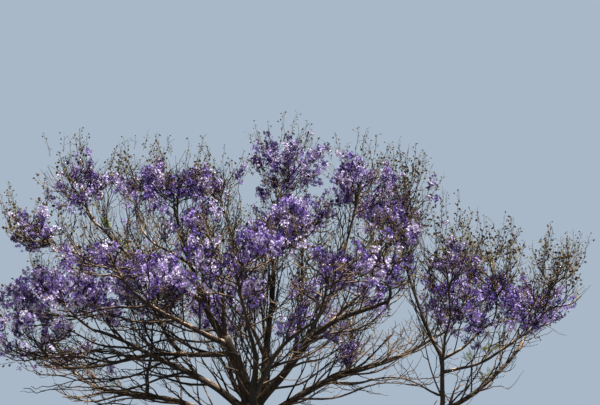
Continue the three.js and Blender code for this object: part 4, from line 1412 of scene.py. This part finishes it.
def runTree(piece, treeAndSockets, values, name):
    tree, sockets = treeAndSockets
    modifier = piece.modifiers.new(name, "NODES")
    modifier.node_group = tree
    for label, value in values.items():
        modifier[sockets[label]] = value
    return bake(piece, name)


def skinLines(name, sides, finish, relief=0.0, grain=10.0):
    kept = lines[name]
    edges, start = [], 0
    for points, _ in kept:
        steps = np.arange(start, start + len(points))
        edges.append(np.column_stack((steps[:-1], steps[1:])))
        start += len(points)
    girths = np.concatenate([radii for _, radii in kept])
    places = np.concatenate([points for points, _ in kept])
    carried = carrier(places, {"girth": girths}, np.concatenate(edges))
    values = {"Sides": sides, "Relief": relief, "Grain": grain, "Finish": finish}
    made = runTree(carried, skinTwigs, values, name)
    made.polygons.foreach_set("use_smooth", [True] * len(made.polygons))
    return linkObject(name, made)


def layPiece(name, rows, shape, finish, inner, seed):
    carried = carrier(rows[:, :3], {"facing": rows[:, 3:6], "size": rows[:, 6]})
    values = {"Shape": shape, "Seed": seed, "Finish": finish, "Inner finish": inner}
    return linkObject(name, runTree(carried, laySprays, values, name))


# Finishes
def startMaterial(name, roughness):
    material = bpy.data.materials.new(name)
    material.use_nodes = True
    tree = material.node_tree
    tree.nodes.clear()
    shader = addNode(tree, "ShaderNodeBsdfPrincipled", {"Roughness": roughness})
    addNode(tree, "ShaderNodeOutputMaterial", {"Surface": shader.outputs["BSDF"]})
    return material, tree, shader


plainSpecular = 0.3


# Petals, pods and leaves take one plain colour each, dealt out by spray
def plainFinish(name, colour, roughness, sheen=0.0):
    material, _, shader = startMaterial(name, roughness)
    shader.inputs["Base Color"].default_value = linearColour(colour)
    shader.inputs["Specular IOR Level"].default_value = plainSpecular
    shader.inputs["Sheen Weight"].default_value = sheen
    return material


def ramp(tree, factor, stops):
    node = addNode(tree, "ShaderNodeValToRGB", {"Fac": factor})
    elements = node.color_ramp.elements
    while len(elements) < len(stops):
        elements.new(0.5)
    for element, (place, colour) in zip(elements, stops):
        element.position = place
        element.color = linearColour(colour)
    return node.outputs["Color"]


def noiseOf(tree, place, scale, detail, roughness=0.5):
    return addNode(tree, "ShaderNodeTexNoise", {
        "Vector": place, "Scale": scale, "Detail": detail, "Roughness": roughness,
    }).outputs


# The end of either bark: painted light, paler on upper sides and darker on undersides as if lit from above,
# then colours and relief
def colourBark(tree, shader, tone, height, look):
    normal = addNode(tree, "ShaderNodeNewGeometry").outputs["Normal"]
    upper = addNode(tree, "ShaderNodeSeparateXYZ", {"Vector": normal}).outputs["Z"]
    # Painted light: the normal's height lifts upper sides towards the pale, sunlit end of the ramp and sinks
    # undersides towards the dark end
    toneWithPaintedLight = mathOf(tree, "MULTIPLY_ADD", upper, look["paintedTopLight"], tone)
    colour = ramp(tree, toneWithPaintedLight, [(place, look[name]) for name, place in look["stops"].items()])
    tree.links.new(colour, shader.inputs["Base Color"])
    bump = addNode(tree, "ShaderNodeBump", {
        "Height": height, "Strength": look["bump"], "Distance": look["bumpDistance"],
    })
    tree.links.new(bump.outputs["Normal"], shader.inputs["Normal"])


# The last stop is both the palest plates and patches and a painted sunlit highlight on upper sides; the
# top-light share paints upper sides lighter and undersides darker
barkLook = {
    "furrow": "#090604", "plate": "#221812", "ridge": "#46372B", "paleAndSunlit": "#AE987F", "roughness": 0.85,
    "stops": {"furrow": 0.02, "plate": 0.2, "ridge": 0.44, "paleAndSunlit": 0.8},
    "plateScale": 21.0, "plateStretch": 0.2, "furrowWidth": 0.16, "plateHeight": 0.42,
    "waver": 0.035, "waverScale": 9.0, "grainScale": 46.0, "grainRoughness": 0.65, "grainDepth": 0.5,
    "patchScale": 2.4, "patchDepth": 0.5, "paintedTopLight": 0.4, "bump": 0.8, "bumpDistance": 0.009,
}


# Fissured jacaranda bark: thin dark furrows that waver along the limb and part long grey-brown
# plates, each finely scaled, with broad paler patches, and painted light: paler upper sides, darker
# undersides
def fissuredBark(look):
    material, tree, shader = startMaterial("fissuredJacarandaBark", look["roughness"])
    place = addNode(tree, "ShaderNodeAttribute", attribute_name="barkSpace").outputs["Vector"]
    wavered = addNode(tree, "ShaderNodeVectorMath", {
        0: noiseOf(tree, place, look["waverScale"], 2.0)["Color"], 1: (look["waver"],) * 3, 2: place,
    }, operation="MULTIPLY_ADD")
    stretched = addNode(tree, "ShaderNodeMapping", {
        "Vector": wavered.outputs["Vector"], "Scale": (1, 1, look["plateStretch"]),
    }).outputs["Vector"]
    plates = addNode(tree, "ShaderNodeTexVoronoi", {
        "Vector": stretched, "Scale": look["plateScale"],
    }, feature="DISTANCE_TO_EDGE")
    ridge = addNode(tree, "ShaderNodeMapRange", {
        "Value": plates.outputs["Distance"], "From Min": 0.0, "From Max": look["furrowWidth"],
        "To Min": 0.0, "To Max": look["plateHeight"],
    }).outputs["Result"]
    grain = noiseOf(tree, stretched, look["grainScale"], 4.0, look["grainRoughness"])[0]
    patches = noiseOf(tree, place, look["patchScale"], 2.0)[0]
    grained = mathOf(tree, "MULTIPLY_ADD", grain, look["grainDepth"], ridge)
    shifted = mathOf(tree, "SUBTRACT", grained, 0.5 * look["grainDepth"] + 0.5 * look["patchDepth"])
    patched = mathOf(tree, "MULTIPLY_ADD", patches, look["patchDepth"], shifted)
    colourBark(tree, shader, patched, grained, look)
    return material


# Young limb colours: the shade stop is painted shade on undersides, and the last stop is both pale patches
# and a painted sunlit highlight on upper sides
limbLook = {
    "shade": "#0A0604", "warm": "#291910", "pale": "#6C513A", "paleAndSunlit": "#D8C0A4", "roughness": 0.7,
    "stops": {"shade": 0.62, "warm": 0.76, "pale": 0.9, "paleAndSunlit": 1.0}, "paintedTopLight": 0.3,
    "patchScale": 2.2, "grainScale": 28.0, "grainDepth": 0.55, "bump": 0.7, "bumpDistance": 0.003,
}


# Young limb bark: smooth warm brown with paler weather-worn patches and a fine dark grain, and painted light:
# paler upper sides, darker undersides
def limbBark(name, look):
    material, tree, shader = startMaterial(name, look["roughness"])
    place = addNode(tree, "ShaderNodeTexCoord").outputs["Object"]
    patches = noiseOf(tree, place, look["patchScale"], 4.0)[0]
    grain = noiseOf(tree, place, look["grainScale"], 3.0)[0]
    tone = mathOf(tree, "MULTIPLY_ADD", grain, look["grainDepth"], patches)
    colourBark(tree, shader, tone, grain, look)
    return material


# Twigs and stalks carry the same painted light: upper sides lighter, undersides darker
twigLook = dict(limbLook, warm="#24180F", pale="#4E3B2C", paleAndSunlit="#917A62", roughness=0.8)
stalkLook = dict(twigLook, warm="#1E160F", pale="#40331F", paleAndSunlit="#6E6142")
dryLook = dict(twigLook, warm="#4E4128", pale="#7C6E46", paleAndSunlit="#A09468")


# Small shapes, a unit long from their base at the origin up their own z
def hideShape(name, vertices, faces, inner=()):
    mesh = meshFrom(name, vertices, faces)
    marks = mesh.attributes.new("inner", "FLOAT", "FACE")
    marks.data.foreach_set("value", [1.0 if k in inner else 0.0 for k in range(len(faces))])
    piece = linkObject(name, mesh)
    piece.hide_render = True
    piece.hide_viewport = True
    return piece


def ringPoint(radius, angle, height):
    return (radius * math.cos(angle), radius * math.sin(angle), height)


blossomForm = {
    "tubeRadius": 0.13, "tubeTop": 0.66, "throat": 0.52, "lobes": 5, "halfLobe": 25,
    "lowCorner": (0.5, 0.8), "highCorner": (0.48, 0.92),
}


# A jacaranda flower: narrow tube from its base, flaring into five spreading lobes
def blossomShape(form):
    tube = [ringPoint(form["tubeRadius"], math.radians(120 * i), form["tubeTop"]) for i in range(3)]
    faces = [(0, 1 + (i + 1) % 3, 1 + i) for i in range(3)]
    vertices = [(0, 0, 0)] + tube + [(0, 0, form["throat"])]
    for i in range(form["lobes"]):
        for corner, turn in (("lowCorner", -form["halfLobe"]), ("highCorner", form["halfLobe"])):
            radius, height = form[corner]
            vertices.append(ringPoint(radius, math.radians(360 // form["lobes"] * i + turn), height))
        faces.append((4, 5 + 2 * i, 6 + 2 * i))
    return hideShape("blossomShape", vertices, faces, range(3, len(faces)))


podForm = {
    "rim": ((0, 0), (0.46, 0.3), (0.34, 0.84), (-0.24, 0.96), (-0.5, 0.38)), "wave": 0.03,
    "middle": 0.5, "halfThickness": 0.13,
}


# A flat round seed capsule, thick in the middle and thin at its wavy rim
def podShape(form):
    count = len(form["rim"])
    vertices = [(x, form["wave"] * (-1) ** k, z) for k, (x, z) in enumerate(form["rim"])]
    vertices += [(0, side * form["halfThickness"], form["middle"]) for side in (1, -1)]
    faces = [((i + 1) % count, i, count) for i in range(count)]
    faces += [(i, (i + 1) % count, count + 1) for i in range(count)]
    return hideShape("podShape", vertices, faces)


budForm = {"sides": 4, "radius": 0.3, "widest": 0.62}


def budShape(form):
    count = form["sides"]
    ring = [ringPoint(form["radius"], math.tau * i / count, form["widest"]) for i in range(count)]
    faces = [(0, 1 + (i + 1) % count, 1 + i) for i in range(count)]
    faces += [(1 + i, 1 + (i + 1) % count, 1 + count) for i in range(count)]
    return hideShape("budShape", [(0, 0, 0)] + ring + [(0, 0, 1)], faces)


featherForm = {
    "halfRib": 0.008, "arch": 0.05, "pairs": 9, "first": 0.14, "step": 0.1,
    "reach": 0.26, "swellFrom": 0.22, "swellStep": 0.078, "forward": 0.1, "back": 0.025, "fold": 0.02,
    "upperShare": 0.5, "lowerShare": 0.55,
}


# A fern-like young leaf: a midrib with paired pinnae that shorten towards its tip
def featherShape(form):
    vertices = [(-form["halfRib"], 0, 0), (form["halfRib"], 0, 0), (0, form["arch"], 1)]
    faces = [(0, 1, 2)]
    fold = form["fold"]
    for k in range(form["pairs"]):
        z = form["first"] + form["step"] * k
        reach = form["reach"] * math.sin(math.pi * (form["swellFrom"] + form["swellStep"] * k))
        for hand in (-1, 1):
            start = len(vertices)
            vertices += [
                (0, form["arch"] * z, z), (hand * reach * form["upperShare"], fold, z + form["forward"]),
                (hand * reach, -fold, z + form["forward"]),
                (hand * reach * form["lowerShare"], fold, z + form["back"]),
            ]
            face = (start, start + 1, start + 2, start + 3)
            faces.append(face if hand < 0 else tuple(reversed(face)))
    return hideShape("featherShape", vertices, faces)


def standFor(piece, nodes):
    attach(piece, "root")
    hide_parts(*nodes)
    print(piece.name, triangleCount(piece.data))


# Wood, limbs, twigs and stalks
def dressWood():
    piece = linkObject("trunkAndBoughs", carveWood())
    piece.data.materials.clear()
    piece.data.materials.append(fissuredBark(barkLook))
    standFor(piece, ["trunk"] + woodLimbs)


thinLimb = {"spacing": 0.09, "fewest": 12, "collar": 0.3, "collarReach": 0.16}


def addThinLimb(bough):
    count = max(thinLimb["fewest"], round(bough["length"] / thinLimb["spacing"]))
    places = [k / count for k in range(count + 1)]
    radii = [
        mixed(bough["base"], bough["tip"], place)
        * (1 + thinLimb["collar"] * math.exp(-place * bough["length"] / thinLimb["collarReach"]))
        for place in places
    ]
    line = np.array([along(limbs[bough["name"]]["points"], place) for place in places])
    lines["limbsAndStems"].append((line, radii))


dressWood()
thinLimbs = [bough for bough in boughs if bough["base"] < thickLimb]
for bough in thinLimbs:
    addThinLimb(bough)
limbPiece = skinLines("limbsAndStems", 9, limbBark("smoothLimbBark", limbLook), 0.02, 7.0)
standFor(limbPiece, [bough["name"] for bough in thinLimbs])
twigFinish = limbBark("twigBark", twigLook)
for name, sides in (("sideLimbs", 6), ("twigs", 4), ("whips", 3)):
    standFor(skinLines(name, sides, twigFinish, 0.004, 9.0), massNodes)
standFor(skinLines("stalks", 3, limbBark("stalkBark", stalkLook)), massNodes)
standFor(skinLines("podStalks", 3, limbBark("dryStalkBark", dryLook)), massNodes)

# Sprays: each tone of petal, pod and leaf is one joined piece. Of each kind: slot, seed, roughness
# and sheen, and the name and colour of every tone. A petal tone has the lobes' colour, then the tube's.
petalTones = {
    "slot": "bloom", "seed": 11, "roughness": 0.5, "sheen": 0.2, "shares": (0.25, 0.51, 0.74),
    "tubeRoughness": 0.55, "tubeSheen": 0.15,
    "tones": [
        ("paleLilac", "#E2D8F8", "#7C66B4"), ("lilac", "#B9A4E6", "#4D3890"),
        ("violet", "#775CBC", "#28195A"), ("deepViolet", "#351F70", "#10082A"),
    ],
}
plainTones = [
    ("bud", "bloom", 21, 0.5, [("buds", "#54379A")]),
    ("pod", None, 31, 0.7, [("podBrown", "#5C432D"), ("podOlive", "#6F6440"), ("podDark", "#3A2A1E")]),
    ("leaf", None, 41, 0.55, [("youngLeaf", "#7C8C2C"), ("yellowLeaf", "#A29C3A")]),
]


def layPetals(shape, rows, setting):
    tones = np.searchsorted(np.quantile(rows[:, 7], setting["shares"]), rows[:, 7])
    for k, (name, lobe, tube) in enumerate(setting["tones"]):
        outer = plainFinish(name + "Tube", tube, setting["tubeRoughness"], setting["tubeSheen"])
        inner = plainFinish(name + "Petal", lobe, setting["roughness"], setting["sheen"])
        piece = layPiece("blossoms_" + name, rows[tones == k], shape, outer, inner, setting["seed"] + k)
        standFor(piece, massNodes)


def layPlain(shape, rows, seed, roughness, tones):
    for k, (name, colour) in enumerate(tones):
        finish = plainFinish("budViolet" if name == "buds" else name, colour, roughness)
        piece = layPiece(name, rows[rows[:, 7] == k], shape, finish, finish, seed + k)
        standFor(piece, massNodes)


shapes = {
    "blossom": blossomShape(blossomForm), "pod": podShape(podForm),
    "bud": budShape(budForm), "leaf": featherShape(featherForm),
}
laid = {kind: np.concatenate(rows) for kind, rows in sprays.items()}
print({kind: len(rows) for kind, rows in laid.items()})
layPetals(shapes["blossom"], laid["blossom"], petalTones)
for kind, slotName, seed, roughness, tones in plainTones:
    layPlain(shapes[kind], laid[kind], seed, roughness, tones)
for shape in shapes.values():
    bpy.data.objects.remove(shape)

# Pale floor, soft key from the viewer's upper right and pale surroundings
studio = {
    "floor": "#83827E", "backdrop": "#A9B8C8", "fill": "#D5E2F2", "fillStrength": 0.05,
    "key": 8.4, "keyAngle": 2.0, "keyColour": (1.0, 0.96, 0.9), "halfFloor": 400, "floorRoughness": 0.9,
}


def lightStudio(setting):
    half = setting["halfFloor"]
    corners = [(-half, -half, 0), (half, -half, 0), (half, half, 0), (-half, half, 0)]
    floor = linkObject("studioFloor", meshFrom("studioFloor", corners, [(0, 1, 2, 3)]))
    floor.data.materials.append(plainFinish("palePlaster", setting["floor"], setting["floorRoughness"]))
    sun = bpy.data.lights.new("softKey", "SUN")
    sun.energy = setting["key"]
    sun.angle = math.radians(setting["keyAngle"])
    sun.color = setting["keyColour"]
    lamp = bpy.data.objects.new("softKey", sun)
    lamp.rotation_euler = sunward.to_track_quat("Z", "Y").to_euler()
    scene.collection.objects.link(lamp)
    world = bpy.data.worlds.new("paleStudio")
    world.use_nodes = True
    tree = world.node_tree
    tree.nodes.clear()
    fill, backdrop = [
        addNode(tree, "ShaderNodeBackground", {"Color": linearColour(setting[name]), "Strength": strength})
        for name, strength in (("fill", setting["fillStrength"]), ("backdrop", 1.0))
    ]
    seen = addNode(tree, "ShaderNodeLightPath").outputs["Is Camera Ray"]
    both = addNode(tree, "ShaderNodeMixShader", {
        0: seen, 1: fill.outputs["Background"], 2: backdrop.outputs["Background"],
    })
    addNode(tree, "ShaderNodeOutputWorld", {"Surface": both.outputs["Shader"]})
    scene.world = world
    scene.view_settings.view_transform = "Standard"


lightStudio(studio)

print("finished")
